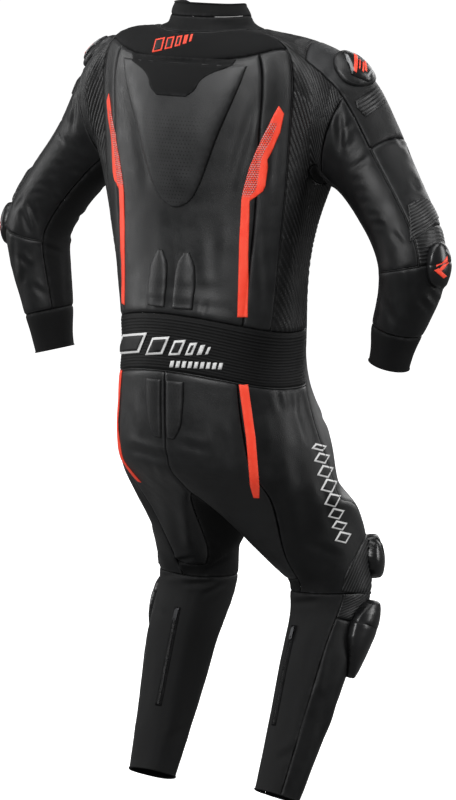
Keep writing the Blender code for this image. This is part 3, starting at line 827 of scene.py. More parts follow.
def faired(bands: Sequence[Band], steps: int = 4) -> tuple[Band, ...]:
    """More bands between the given ones, on a smooth curve through them.

    Args:
        bands: the outline's edges at each height, from the top down.
        steps: how many bands each one becomes.

    Returns:
        The bands, with the last one kept.
    """
    rows = np.array([(band.up, band.left, band.right, band.rise) for band in bands])
    ups = rows[:, 0]
    slopes = np.gradient(rows, ups, axis=0)
    made = []
    for n in range(len(rows) - 1):
        gap = ups[n + 1] - ups[n]
        for step in range(steps):
            t = step / steps
            h00, h10 = 2 * t**3 - 3 * t**2 + 1, t**3 - 2 * t**2 + t
            h01, h11 = -2 * t**3 + 3 * t**2, t**3 - t**2
            made.append(h00 * rows[n] + h10 * gap * slopes[n] + h01 * rows[n + 1] + h11 * gap * slopes[n + 1])
    made.append(rows[-1])
    return tuple(Band(*map(float, row)) for row in made)


def mirrored(half_widths: Sequence[tuple[float, float, float]]) -> tuple[Band, ...]:
    """Bands that are the same on both sides of the middle, from height, half width and rise."""
    return tuple(Band(up, -half, half, rise) for up, half, rise in half_widths)


def outline_at(sight: Sight, bands: Sequence[Band], place: Vector) -> tuple[float, float, float]:
    """Where a place is across an outline (0 to 1), the rise there, and its distance from the edge.

    Args:
        sight: the view, on one half, that the outline is given in.
        bands: the outline's edges at each height, from the top down.
        place: the place, in the scene's metres.

    Returns:
        Its share across, the rise in metres, and the distance, which is negative outside.
    """
    across, up, _ = sight.seen(place)
    ends = min(bands[0].up - up, up - bands[-1].up)
    up = min(max(up, bands[-1].up), bands[0].up)
    for upper, lower in zip(bands, bands[1:]):
        if up >= lower.up:
            share = (upper.up - up) / (upper.up - lower.up)
            left = upper.left + (lower.left - upper.left) * share
            right = upper.right + (lower.right - upper.right) * share
            rise = upper.rise + (lower.rise - upper.rise) * share
            edge = min(across - left, right - across, ends)
            return (across - left) / (right - left), rise, edge
    raise ValueError("the bands of an outline run downwards")


def trimmed(bm: bmesh.types.BMesh, sight: Sight, bands: Sequence[Band]) -> bmesh.types.BMesh:
    """Cut a surface along an outline and delete what lies outside.

    Args:
        bm: the surface, which is changed.
        sight: the view, on one half, that the outline is given in.
        bands: the outline's edges at each height, from the top down.

    Returns:
        The same surface.
    """
    for band in (bands[0], bands[-1]):
        everything = bm.faces[:] + bm.edges[:] + bm.verts[:]
        bmesh.ops.bisect_plane(bm, geom=everything, dist=SNAP, plane_co=sight.point(0, band.up), plane_no=sight.up)
    for upper, lower in zip(bands, bands[1:]):
        for top, bottom in (
            (sight.point(upper.left, upper.up), sight.point(lower.left, lower.up)),
            (sight.point(upper.right, upper.up), sight.point(lower.right, lower.up)),
        ):
            strip = []
            for face in bm.faces:
                ups = [sight.seen(vert.co)[1] for vert in face.verts]
                if min(ups) < upper.up and max(ups) > lower.up:
                    strip.append(face)
            edges = {edge for face in strip for edge in face.edges}
            verts = {vert for face in strip for vert in face.verts}
            across = (top - bottom).cross(sight.facing).normalized()
            bmesh.ops.bisect_plane(bm, geom=[*strip, *edges, *verts], dist=SNAP, plane_co=top, plane_no=across)
    outside = [face for face in bm.faces if outline_at(sight, bands, face.calc_center_median())[2] <= 0]
    bmesh.ops.delete(bm, geom=outside, context="FACES")
    return bm


def thicken(
    bm: bmesh.types.BMesh,
    low: Callable[[bmesh.types.BMVert], float],
    high: Callable[[bmesh.types.BMVert], float],
) -> None:
    """Turn a sheet into a closed solid between two heights above the skin, given for each vertex.

    Args:
        bm: the sheet, which is changed.
        low: the height of its under side at a vertex.
        high: the height of its face at a vertex.
    """
    out = bm.verts.layers.float_vector["out"]
    grown = bmesh.ops.extrude_face_region(bm, geom=bm.faces[:])["geom"]
    tops = {item for item in grown if isinstance(item, bmesh.types.BMVert)}
    for vert in bm.verts:
        height = high(vert) if vert in tops else low(vert)
        vert.co += vert[out].normalized() * height
    bmesh.ops.recalc_face_normals(bm, faces=bm.faces)


def dome(share: float) -> float:
    """A round crown's height at a place across it."""
    return math.sqrt(max(0.0, 4 * share * (1 - share)))


def show(name: str, bm: bmesh.types.BMesh, slot: Slot, material: bpy.types.Material) -> bpy.types.Object:
    """Make a finished mesh a piece of the suit.

    Args:
        name: the piece's name.
        bm: the mesh, which is freed.
        slot: the slot that it would be in; not used.
        material: its finish.

    Returns:
        The piece.
    """
    mesh = bpy.data.meshes.new(name)
    bm.to_mesh(mesh)
    bm.free()
    coat(mesh, material)
    item = put(name, mesh)
    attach(item, BODY)
    LOG.info("%s: %d faces", name, len(mesh.polygons))
    return item


# --- Ribbed pieces -------------------------------------------------------------------------------


@dataclass(frozen=True)
class Ribs:
    """Sewn accordion folds that run over a piece.

    along: whether they run down the piece rather than round it. slope: how far they drift sideways
    for each step along. pitch, height: millimetres.
    """

    pitch: float
    height: float
    along: bool = False
    slope: float = 0.0

    def phase(self, cut: np.ndarray) -> np.ndarray:
        """How many ribs in each place of the unrolled piece lies."""
        across, down = cut[..., 0], cut[..., 1]
        if self.along:
            return (across - self.slope * down) / (self.pitch * MM)
        return (down - self.slope * across) / (self.pitch * MM)

    def crest(self, cut: np.ndarray) -> np.ndarray:
        """How near to the top of a rib each place lies, from 0 in a fold to 1."""
        return np.abs(np.sin(math.pi * self.phase(cut))) ** 0.6


RIBS = {
    "side_stretch": Ribs(7.6, 2.2, along=True, slope=0.50),
    "waist_stretch": Ribs(5.2, 1.2),
    "elbow_stretch": Ribs(6.4, 1.8, slope=0.15),
    "knee_stretch": Ribs(5.6, 1.6, slope=0.05),
}


def refine_across(bm: bmesh.types.BMesh, ribs: Ribs, place: Callable[[bmesh.types.BMLoop], Sequence[float]]) -> None:
    """Subdivide the edges that run across ribs until each rib has enough of them.

    Args:
        bm: the mesh to refine.
        ribs: the ribs.
        place: where one of the mesh's corners lies on the unrolled piece.
    """
    for _ in range(RIB_ROUNDS):
        crossing = []
        for edge in bm.edges:
            loop = edge.link_loops[0]
            a, b = ribs.phase(np.array([place(loop), place(loop.link_loop_next)]))
            if abs(a - b) > RIB_STEP:
                crossing.append(edge)
        if not crossing:
            break
        bmesh.ops.subdivide_edges(bm, edges=crossing, cuts=1, use_grid_fill=True)


def fold_ribs(item: bpy.types.Object, ribs: Ribs) -> None:
    """Refine a ribbed piece across its folds and raise them.

    Args:
        item: the piece, whose mesh is changed.
        ribs: its folds.
    """
    mesh = item.data
    bm = bmesh.new()
    bm.from_mesh(mesh)
    cut = bm.loops.layers.uv["cut"]
    refine_across(bm, ribs, lambda loop: loop[cut].uv)
    bm.normal_update()
    # The layer fold keeps how near each place is to a rib's crest; the finish paints shade in the folds and a
    # highlight on the crests from it.
    fold = bm.verts.layers.float.new("fold")
    seam = bm.verts.layers.float["seam"]
    verts = list(bm.verts)
    where = np.array([vert.link_loops[0][cut].uv for vert in verts])
    fade = smoothstep(0.0, 4 * MM, np.array([vert[seam] for vert in verts]))
    crest = ribs.crest(where)
    heights = (crest - 0.75) * ribs.height * MM * fade
    outs = [vert.normal.copy() for vert in verts]
    for vert, out, height, shade in zip(verts, outs, heights, crest * fade + 0.6 * (1 - fade)):
        vert.co += out * height
        vert[fold] = shade
    mesh.clear_geometry()
    bm.to_mesh(mesh)
    bm.free()


def sink_edges(bm: bmesh.types.BMesh) -> None:
    """Turn a sheet's open edges in a little."""
    for vert in {vert for edge in bm.edges if edge.is_boundary for vert in edge.verts}:
        vert.co -= vert.normal * SUNK_EDGE


# --- The cloth -----------------------------------------------------------------------------------


@dataclass(frozen=True)
class Cloth:
    """How a pattern piece is finished, and the flat size and area of the leather or cloth it takes."""

    slot: Slot
    finish: str
    flat: tuple[float, float]
    area: float
    held: str = "hung"


CLOTH = {
    "collar_edge": Cloth(Slot.STRETCH, "neoprene", (0.46, 0.030), 0.0095, "stretched"),
    "collar_base": Cloth(Slot.LEATHER, "collar", (0.56, 0.045), 0.0172),
    "yoke": Cloth(Slot.LEATHER, "neoprene", (0.41, 0.110), 0.0205),
    "back_panel": Cloth(Slot.LEATHER, "leather", (0.32, 0.470), 0.137),
    "back_side": Cloth(Slot.LEATHER, "leather", (0.06, 0.460), 0.0243),
    "side_stretch": Cloth(Slot.ACCORDION, "accordion", (0.19, 0.560), 0.054, "stretched"),
    "waist_stretch": Cloth(Slot.ACCORDION, "belt", (0.60, 0.110), 0.058, "stretched"),
    "front": Cloth(Slot.LEATHER, "leather", (0.34, 1.020), 0.198),
    "seat": Cloth(Slot.LEATHER, "leather", (0.16, 0.420), 0.0566),
    "thigh_outer": Cloth(Slot.LEATHER, "thigh", (0.20, 0.460), 0.069),
    "crotch_stretch": Cloth(Slot.STRETCH, "stretch", (0.56, 0.280), 0.077, "stretched"),
    "knee_stretch": Cloth(Slot.ACCORDION, "accordion", (0.22, 0.180), 0.0244, "stretched"),
    "shin": Cloth(Slot.LEATHER, "shin", (0.22, 0.340), 0.0638),
    "calf": Cloth(Slot.LEATHER, "calf", (0.225, 0.380), 0.0585),
    "shoulder": Cloth(Slot.LEATHER, "pebble", (0.24, 0.210), 0.0360),
    "upper_sleeve": Cloth(Slot.LEATHER, "sleeve", (0.22, 0.240), 0.0361),
    "back_sleeve": Cloth(Slot.LEATHER, "sleeve", (0.155, 0.310), 0.0280),
    "under_sleeve": Cloth(Slot.STRETCH, "stretch", (0.22, 0.450), 0.0340, "stretched"),
    "elbow_stretch": Cloth(Slot.ACCORDION, "accordion", (0.19, 0.070), 0.0118, "stretched"),
    "forearm": Cloth(Slot.LEATHER, "sleeve", (0.28, 0.200), 0.0340),
    "cuff": Cloth(Slot.STRETCH, "stretch", (0.27, 0.090), 0.0163, "stretched"),
}


@dataclass
class PatternPieces:
    """Every pattern piece of the suit as a thin sheet of leather or stretch cloth."""

    skin: Skin
    finishes: dict[str, bpy.types.Material]

    def build(self) -> None:
        """Separate the skin and finish each piece."""
        for name, item in self.skin.separate().items():
            kind = stem(name)
            if kind in RIBS:
                fold_ribs(item, RIBS[kind])
            bm = bmesh.new()
            bm.from_mesh(item.data)
            bm.normal_update()
            sink_edges(bm)
            bm.to_mesh(item.data)
            bm.free()
            self.dress(name, item, CLOTH[kind])

    def dress(self, name: str, item: bpy.types.Object, cloth: Cloth) -> None:
        """Give a piece its thickness and its finish, hang it on the suit and hide its node.

        Args:
            name: the node that it stands for.
            item: the piece.
            cloth: what it is cut from.
        """
        item.name = item.data.name = name + "_sheet"
        coat(item.data, self.finishes[cloth.finish])
        wall = item.modifiers.new("wall", "SOLIDIFY")
        wall.thickness, wall.offset = WALL, -1.0
        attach(item, BODY)
        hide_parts(name)
        LOG.info("%s: %d faces", item.name, len(item.data.polygons))


# --- What is laid on the cloth -------------------------------------------------------------------


@dataclass(frozen=True)
class Laid:
    """A piece laid on the skin inside an outline.

    edge: how far its rim stands proud. roll: how far in from its edge it rounds over. finer: how
    often its faces are divided. pair: whether each half has one. padded: how full it is, if it is
    stuffed; not used. under: the laid piece that it lies on. over: how much higher still it lies.
    stands_for: whether it takes the place of the node of its name. ribs: the folds over it.
    """

    name: str
    view: View
    bands: tuple[Band, ...]
    edge: float
    slot: Slot
    finish: str
    roll: float = 3 * MM
    finer: int = 1
    pair: bool = True
    padded: float | None = None
    under: "Laid | None" = None
    over: float = 0.0
    stands_for: bool = True
    ribs: Ribs | None = None

    def height(self, sight: Sight, place: Vector) -> float:
        """How far above the skin the piece's face stands over a place of the skin.

        Args:
            sight: the view, on one half, that the outline is given in.
            place: the place.

        Returns:
            The height, in metres.
        """
        share, rise, edge = outline_at(sight, self.bands, place)
        over = min(1.0, max(0.0, edge / self.roll))
        rim = LIFT + self.edge * (0.35 + 0.65 * math.sqrt(1 - (1 - over) ** 2))
        if self.ribs:
            rim += self.crest(sight, place) * self.ribs.height * MM * over
        return self.floor(sight, place) + rim + rise * dome(share)

    def crest(self, sight: Sight, place: Vector) -> float:
        """How near to the top of one of its ribs a place is."""
        return float(self.ribs.crest(np.array(sight.seen(place)[:2]))) if self.ribs else 0.0

    def floor(self, sight: Sight, place: Vector) -> float:
        """How far above the skin lies what the piece is laid on.

        Args:
            sight: the view, on one half, that the outline is given in.
            place: the place.

        Returns:
            The height, in metres.
        """
        if self.under is None:
            return self.over
        below = Sight(self.under.view, sight.half) if self.under.view != self.view else sight
        inside = outline_at(below, self.under.bands, place)[2] > 0
        return self.over + (self.under.height(below, place) if inside else 0.0)


HUMP = mirrored(
    (
        (-0.034, 0.132, 3 * MM),
        (-0.060, 0.124, 10 * MM),
        (-0.100, 0.108, 15 * MM),
        (-0.150, 0.086, 18 * MM),
        (-0.205, 0.064, 15 * MM),
        (-0.245, 0.047, 10 * MM),
        (-0.264, 0.035, 5 * MM),
        (-0.275, 0.022, 3 * MM),
        (-0.281, 0.008, 2 * MM),
    )
)
SPINE_PAD = (
    Band(-0.357, 0.024, 0.033, 1 * MM),
    Band(-0.377, 0.012, 0.044, 4 * MM),
    Band(-0.397, 0.009, 0.048, 5 * MM),
    Band(-0.454, 0.009, 0.048, 4 * MM),
)
BACK_STRIPE = (
    Band(-0.101, 0.1820, 0.1835),
    Band(-0.114, 0.1760, 0.1905),
    Band(-0.146, 0.1635, 0.1845),
    Band(-0.171, 0.1524, 0.1750),
    Band(-0.192, 0.1455, 0.1667),
    Band(-0.2055, 0.1405, 0.1672),
    Band(-0.2374, 0.1320, 0.1639),
    Band(-0.2469, 0.1295, 0.1600),
    Band(-0.2634, 0.1265, 0.1404),
    Band(-0.3300, 0.1235, 0.1385),
    Band(-0.4640, 0.1215, 0.1360),
)
SEAT_PAD = (
    Band(-0.578, 0.006, 0.040, 3 * MM),
    Band(-0.625, 0.006, 0.038, 4 * MM),
    Band(-0.665, 0.006, 0.030, 3 * MM),
    Band(-0.680, 0.007, 0.020, 1 * MM),
)
SEAT_STRIPE = (
    Band(-0.580, 0.0412, 0.0572),
    Band(-0.673, 0.054, 0.070),
    Band(-0.760, 0.061, 0.077),
    Band(-0.785, 0.067, 0.077),
)
TONGUE = mirrored(
    (
        (-0.024, 0.112, 0),
        (-0.038, 0.100, 0),
        (-0.047, 0.076, 0),
        (-0.060, 0.056, 0),
        (-0.080, 0.044, 0),
        (-0.090, 0.030, 0),
    )
)


def oval(top: float, bottom: float, half: float, rise: float, lean: float = 0.0) -> tuple[Band, ...]:
    """The outline of a moulded oval.

    Args:
        top: how far it reaches up, in metres.
        bottom: how far it reaches down.
        half: half its width.
        rise: how high its crown stands.
        lean: how much less the crown rises at the bottom than at the top.

    Returns:
        Its bands.
    """
    bands = []
    for number in range(OVAL_BANDS):
        turn = math.radians(OVAL_CUT + (180 - 2 * OVAL_CUT) * number / (OVAL_BANDS - 1))
        reach = top if turn < math.pi / 2 else bottom
        width = half * math.sin(turn)
        weight = 1 - lean * (1 - math.cos(turn)) / 2
        bands.append(Band(reach * math.cos(turn), -width, width, rise * weight * math.sqrt(math.sin(turn))))
    return tuple(bands)


BACK_HUMP = Laid("back_hump", BACK, faired(HUMP), WALL, Slot.LEATHER, "hump", pair=False, padded=0.9)
SHOULDER_CUP = Laid("shoulder_cup", CUP_TOP, oval(0.045, 0.034, 0.043, 11 * MM), 2.5 * MM, Slot.PLASTIC, "cup")
ELBOW_SLIDER = Laid("elbow_slider", ELBOW, oval(0.040, 0.036, 0.026, 14 * MM, 0.2), 4 * MM, Slot.PLASTIC, "plastic")
KNEE_CUP = Laid("knee_cup", KNEE, oval(0.040, 0.038, 0.036, 20 * MM), 7 * MM, Slot.PLASTIC, "plastic")
KNEE_SLIDER = Laid("knee_slider", KNEE_SIDE, oval(0.066, 0.072, 0.036, 22 * MM, 0.5), 8 * MM, Slot.PLASTIC, "plastic")
LAID = (
    BACK_HUMP,
    Laid("yoke_tongue", BACK, faired(TONGUE), 1.2 * MM, Slot.LEATHER, "neoprene", pair=False, under=BACK_HUMP),
    Laid("spine_pad", BACK, faired(SPINE_PAD), WALL, Slot.LEATHER, "pad", padded=0.8),
    Laid("back_stripe", BACK, BACK_STRIPE, 1.2 * MM, Slot.RED, "stripe", roll=1 * MM),
    Laid("seat_pad", BACK, faired(SEAT_PAD), WALL, Slot.PAD, "pad", padded=0.7),
    Laid("seat_stripe", HAUNCH, SEAT_STRIPE, 1.2 * MM, Slot.RED, "red", roll=1 * MM),
    SHOULDER_CUP,
    ELBOW_SLIDER,
    KNEE_CUP,
    KNEE_SLIDER,
)


def slanted(length: float, width: float, slant: float = 0.0) -> tuple[Band, ...]:
    """A slanted bar round the view's origin, in millimetres.

    Args:
        length: how long it is across.
        width: how tall it is.
        slant: how far its top leans across.

    Returns:
        Its two bands.
    """
    half, lean = length / 2, slant / 2
    top, bottom = (-half + lean, half + lean), (-half - lean, half - lean)
    return (
        Band(width / 2 * MM, top[0] * MM, top[1] * MM),
        Band(-width / 2 * MM, bottom[0] * MM, bottom[1] * MM),
    )


def mark(
    name: str,
    view: View,
    shape: tuple[Band, ...],
    finish: str,
    under: Laid | None = None,
    over: float = 0.0,
    pair: bool = False,
    thick: float = 0.35,
    finer: int = 0,
) -> Laid:
    """A thin mark printed or set on the suit, which stands for no node of its own.

    Args:
        name: the mark's name.
        view: where it lies.
        shape: its outline.
        finish: the name of its finish.
        under: what it lies on.
        over: how much higher still it lies, in metres.
        pair: whether each half has one.
        thick: its thickness in millimetres.
        finer: how often its faces are divided.

    Returns:
        The mark.
    """
    slot = {"red": Slot.RED, "white": Slot.PAD, "silver": Slot.PLASTIC}.get(finish, Slot.LEATHER)
    return Laid(
        name, view, shape, thick * MM, slot, finish, roll=0.3 * MM, finer=finer, pair=pair, under=under,
        over=over, stands_for=False,
    )


ZIP_HALF = 6 * MM
TAPE_WALL = 1 * MM
FRONT_ZIP = (-0.045, -0.655)
CALF_ZIP = (0.070, -0.100)


def zip_tape(name: str, view: View, top: float, bottom: float, pair: bool) -> Laid:
    """The tape of a zip between two heights."""
    bands = (Band(top, -ZIP_HALF, ZIP_HALF), Band(bottom, -ZIP_HALF, ZIP_HALF))
    return Laid(name, view, bands, TAPE_WALL, Slot.STRETCH, "tape", roll=0.5 * MM, finer=0, pair=pair)


ZIPS = (zip_tape("front_zip", FRONT, *FRONT_ZIP, False), zip_tape("calf_zip", CALF, *CALF_ZIP, True))
BELT_OVER = 0.9 * MM
YOKE_BARS = ((-119.0, 17.0), (-100.0, 13.0), (-84.5, 9.5), (-72.5, 6.5), (-63.0, 4.0))
BELT_BARS = ((-168.0, 44.0), (-121.0, 30.0), (-87.0, 20.0), (-63.0, 13.0), (-46.0, 8.0), (-34.0, 5.0))
THIGH_BARS = (
    (158.0, -82.0, 11.0),
    (163.0, -101.0, 17.0),
    (169.0, -124.0, 20.0),
    (175.5, -149.0, 22.0),
    (182.0, -174.0, 22.0),
    (188.5, -198.0, 18.0),
    (194.5, -219.0, 15.0),
    (201.0, -240.0, 19.0),
)


def yoke_marks() -> Iterable[Laid]:
    """A row of slanted bars on the yoke, each an outline, growing shorter to the right."""
    for number, (across, length) in enumerate(YOKE_BARS):
        view = QUARTER.moved(across, 610.0 + 2.2 * number, -8)
        outer = mark(f"yoke_bar_{number}", view, slanted(length, 22 - 2.4 * number, 9 - number), "red")
        yield outer
        inner = slanted(length - 5.0, 17 - 2.4 * number, 7 - number)
        if length > 8:
            yield mark(f"yoke_bar_{number}_field", view, inner, "ink", under=outer)


def belt_marks() -> Iterable[Laid]:
    """A row of slanted white outlines on the belt over a line of small bars."""
    for number, (across, length) in enumerate(BELT_BARS):
        view = QUARTER.moved(across, 98.0 - 0.10 * (across + 168), -3)
        height = 34 - 4.4 * number
        outer = mark(f"belt_bar_{number}", view, slanted(length, height, 16 - 2 * number), "white", over=BELT_OVER)
        yield outer
        if length > 10:
            inner = slanted(length - 8.0, height - 8, 13 - 2 * number)
            yield mark(f"belt_bar_{number}_field", view, inner, "ink", under=outer, over=BELT_OVER)
    for number in range(9):
        view = QUARTER.moved(-96.0 + number * 10.4, 62.0 - 0.5 * number, -2)
        yield mark(f"belt_dash_{number}", view, slanted(6.4, 11.0, 3.0), "white", over=BELT_OVER)


def thigh_marks() -> Iterable[Laid]:
    """A column of white outlines down the outer thigh."""
    for number, (across, up, tall) in enumerate(THIGH_BARS):
        view = QUARTER.moved(across, up, 15)
        outer = mark(f"thigh_bar_{number}", view, slanted(21.0, tall, 5.0), "white", pair=True)
        yield outer
        yield mark(f"thigh_bar_{number}_field", view, slanted(15.0, tall - 6, 4.0), "ink", under=outer, pair=True)


def gusset(name: str, view: View, bands: tuple[Band, ...], ribs: Ribs) -> Laid:
    """A small accordion panel let into the leather.

    Args:
        name: the panel's name.
        view: where it lies.
        bands: the outline's edges at each height, from the top down.
        ribs: its folds.

    Returns:
        The panel.
    """
    return Laid(
        name, view, bands, 0.8 * MM, Slot.ACCORDION, "accordion", roll=2 * MM, finer=1, stands_for=False, ribs=ribs
    )


GUSSETS = (
    gusset(
        "shoulder_gusset",
        SHOULDER_FOLDS,
        (Band(0.015, -0.030, 0.040), Band(0.004, -0.035, 0.043), Band(-0.017, -0.033, 0.038)),
        Ribs(6.4, 2.0),
    ),
    gusset(
        "elbow_gusset",
        ELBOW_FOLDS,
        (
            Band(0.036, -0.014, 0.004),
            Band(0.027, -0.020, 0.040),
            Band(0.008, -0.032, 0.044),
            Band(-0.010, -0.044, 0.040),
            Band(-0.019, -0.050, -0.006),
        ),
        Ribs(5.2, 1.8),
    ),
    gusset(
        "knee_gusset",
        QUARTER.moved(232.0, -290.0, 8),
        (
            Band(0.060, 0.006, 0.026),
            Band(0.030, -0.006, 0.034),
            Band(-0.020, -0.024, 0.034),
            Band(-0.050, -0.026, 0.028),
        ),
        Ribs(4.8, 1.3, along=True, slope=0.30),
    ),
)


SHOULDER_PLATE = (
    Band(0.040, 0.008, 0.013, 1 * MM),
    Band(0.029, 0.003, 0.031, 2 * MM),
    Band(0.012, -0.004, 0.037, 3 * MM),
    Band(-0.003, -0.009, 0.039, 3 * MM),
    Band(-0.012, -0.002, 0.036, 3 * MM),
    Band(-0.020, 0.006, 0.029, 2 * MM),
    Band(-0.025, 0.013, 0.023, 1 * MM),
)
SHOULDER_FLASHES = (
    (9.7, 11.6, -48.0, 38.0, 6.0, "red"),
    (13.0, 5.3, -48.0, 20.0, 2.2, "red"),
    (15.5, -1.0, -48.0, 20.0, 3.0, "red"),
    (22.0, 0.0, -52.0, 24.0, 3.8, "red"),
    (0.5, 16.0, -70.0, 34.0, 5.0, "silver"),
    (28.0, 14.0, -97.0, 24.0, 2.6, "silver"),
    (21.0, -14.0, -30.0, 18.0, 4.0, "silver"),
)
ELBOW_FLASHES = (
    (-6.0, 8.0, -30.0, 22.0, 5.0, "red"),
    (-4.0, 0.0, -30.0, 24.0, 4.0, "red"),
    (-8.0, -9.0, 40.0, 20.0, 6.0, "red"),
    (8.0, 20.0, 50.0, 14.0, 4.0, "silver"),
)


def cup_marks() -> Iterable[Laid]:
    """The plates on the shoulder cups, and the red and silver flashes on them and on the elbow sliders."""
    plate = mark("shoulder_plate", PLATE_TOP, SHOULDER_PLATE, "plastic", SHOULDER_CUP, pair=True, thick=1.6, finer=1)
    yield plate
    for name, base, spots in (("shoulder", plate, SHOULDER_FLASHES), ("elbow", ELBOW_SLIDER, ELBOW_FLASHES)):
        for number, (across, up, turn, length, width, finish) in enumerate(spots):
            shape, view = slanted(length, width, width * 0.6), base.view.moved(across, up, turn)
            yield mark(f"{name}_flash_{number}", view, shape, finish, base, pair=True, thick=0.6, finer=1)


MARKS = (*yoke_marks(), *belt_marks(), *thigh_marks(), *cup_marks())


@dataclass
class LaidPieces:
    """The hump, pads, stripes, cups and sliders that are sewn or set on the cloth."""

    skin: Skin
    finishes: dict[str, bpy.types.Material]

    def build(self) -> None:
        """Lay every piece of the table on its half or halves."""
        for laid in (*LAID, *ZIPS, *GUSSETS, *MARKS):
            for half in Half if laid.pair else (Half.RIGHT,):
                self.lay(laid.name + (half.ending if laid.pair else ""), laid, Sight(laid.view, half))

    def lay(self, name: str, laid: Laid, sight: Sight) -> None:
        """Cut a piece out of the skin, crown it and show it in place of its node.

        Args:
            name: the piece's name, with its ending.
            laid: what it is.
            sight: its view, on its half.
        """
        bm = self.skin.cut(sight, laid.bands)
        for _ in range(laid.finer):
            bmesh.ops.subdivide_edges(bm, edges=bm.edges[:], cuts=1, use_grid_fill=True)
        if laid.ribs:
            refine_across(bm, laid.ribs, lambda loop: sight.seen(loop.vert.co)[:2])
        for key in ("face", "outline"):
            bm.loops.layers.uv.new(key)
        # fold feeds the painted shade in the rib folds and the painted highlight on their crests.
        fold = bm.verts.layers.float.new("fold")
        seam = bm.verts.layers.float["seam"]
        for vert in bm.verts:
            vert[seam] = max(0.0, outline_at(sight, laid.bands, vert.co)[2])
            vert[fold] = laid.crest(sight, vert.co)
        face, outline = (bm.loops.layers.uv[key] for key in ("face", "outline"))
        for item in bm.faces:
            for loop in item.loops:
                across, up, _ = sight.seen(loop.vert.co)
                share, _, edge = outline_at(sight, laid.bands, loop.vert.co)
                loop[face].uv, loop[outline].uv = (across, up), (share, edge)
        thicken(bm, lambda vert: LIFT + laid.floor(sight, vert.co), lambda vert: laid.height(sight, vert.co))
        item = show(name + "_cover", bm, laid.slot, self.finishes[laid.finish])
        if laid.stands_for:
            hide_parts(name)


@dataclass
class ZipWork:
    """The teeth and sliders of the zips, and the finish of their pull tabs.

    pitch: from a tooth to the next one on its side. stagger: how far teeth stand off the middle.
    start, stop: how far inside the tape's top and bottom ends the teeth run. parked: how far the
    slider rests under the top end.
    """

    skin: Skin
    finishes: dict[str, bpy.types.Material]
    pitch: float = 2.6 * MM
    tooth: Triple = (3.4 * MM, 1.3 * MM, 0.7 * MM)
    slider: Triple = (7.6 * MM, 12.5 * MM, 2.0 * MM)
    stagger: float = 0.9 * MM
    start: float = 15 * MM
    stop: float = 2 * MM
    parked: float = 7 * MM

    def build(self) -> None:
        """Set the teeth and slider of each zip."""
        self.tree = BVHTree.FromPolygons(
            [Vector(place) for place in self.skin.places], [tuple(face.vertices) for face in self.skin.mesh.polygons]
        )
        self.make("front_zip", Sight(FRONT), *FRONT_ZIP)
        for half in Half:
            self.make("calf_zip" + half.ending, Sight(CALF, half), *CALF_ZIP)

    def make(self, name: str, sight: Sight, top: float, bottom: float) -> None:
        """Make one zip's teeth, and a slider at its top end.

        Args:
            name: the zip's name.
            sight: its view, on its half.
            top: the height of its top end in that view.
            bottom: the height of its bottom end.
        """
        bm = bmesh.new()
        up = top - self.start
        side = 1
        while up > bottom + self.stop:
            self.block(bm, sight, side * self.stagger, up, self.tooth, LIFT + TAPE_WALL)
            up, side = up - self.pitch / 2, -side
        show(name + "_teeth", bm, Slot.STRETCH, self.finishes["plastic"])
        bm = bmesh.new()
        self.block(bm, sight, 0.0, top - self.parked, self.slider, LIFT + TAPE_WALL)
        edges = [edge for edge in bm.edges if abs(edge.calc_face_angle(0)) > 1.0]
        bmesh.ops.bevel(
            bm, geom=edges, offset=0.8 * MM, offset_type="OFFSET", segments=2, profile=0.5, affect="EDGES", material=-1
        )
        show(name + "_slider", bm, Slot.METAL, self.finishes["nickel"])

    def block(self, bm: bmesh.types.BMesh, sight: Sight, across: float, up: float, size: Triple, above: float) -> None:
        """Set a small block on the skin, at a height above it.

        Args:
            bm: the mesh to add it to.
            sight: the zip's view.
            across: where it stands across the view.
            up: where it stands up the view.
            size: its width, length and height.
            above: how far above the skin its foot is.
        """
        start = sight.point(across, up) + sight.facing * DEPTH
        place, normal, _, _ = self.tree.ray_cast(start, -sight.facing)
        side = sight.up.cross(normal).normalized()
        along = normal.cross(side)
        made = bmesh.ops.create_cube(bm, size=1.0)["verts"]
        for vert in made:
            x, y, z = vert.co
            vert.co = place + side * (x * size[0]) + along * (y * size[1]) + normal * (above + (z + 0.5) * size[2])
        if sight.half is Half.LEFT:
            bmesh.ops.recalc_face_normals(bm, faces=list({face for vert in made for face in vert.link_faces}))

    def dress_tabs(self, nodes: dict[str, bpy.types.Object]) -> None:
        """Give the pull tabs their metal."""
        for name in ("front_zip_pull", "calf_pull_right", "calf_pull_left"):
            for slot in nodes[name].material_slots:
                slot.material = self.finishes["nickel"]


@dataclass(frozen=True)
class Cording:
    """A rolled cord along the seams between two pieces, or along a piece's open edge."""

    name: str
    piece: str
    other: str | None
    radius: float
    finish: str
    lift: float = 0.2 * MM


CORDINGS = (
    Cording("neck_roll", "collar_edge", None, 1.5 * MM, "neoprene", 0.0),
    Cording("cuff_roll", "cuff", None, 1.3 * MM, "stretch", 0.0),
    Cording("hem_roll", "calf", None, 1.3 * MM, "calf", 0.0),
    Cording("shin_hem_roll", "shin", None, 1.3 * MM, "calf", 0.0),
    Cording("sleeve_piping", "back_sleeve", "upper_sleeve", 1.3 * MM, "sleeve"),
    Cording("elbow_piping", "back_sleeve", "elbow_stretch", 1.1 * MM, "sleeve"),
    Cording("forearm_piping", "back_sleeve", "forearm", 1.1 * MM, "sleeve"),
    Cording("collar_piping", "collar_base", "yoke", 0.9 * MM, "leather"),
    Cording("thigh_piping", "thigh_outer", "front", 1.2 * MM, "thigh"),
    Cording("belt_piping", "waist_stretch", "thigh_outer", 1.2 * MM, "leather"),
    Cording("belt_seat_piping", "waist_stretch", "seat", 1.2 * MM, "leather"),
    Cording("side_piping", "back_side", "side_stretch", 0.8 * MM, "leather"),
)


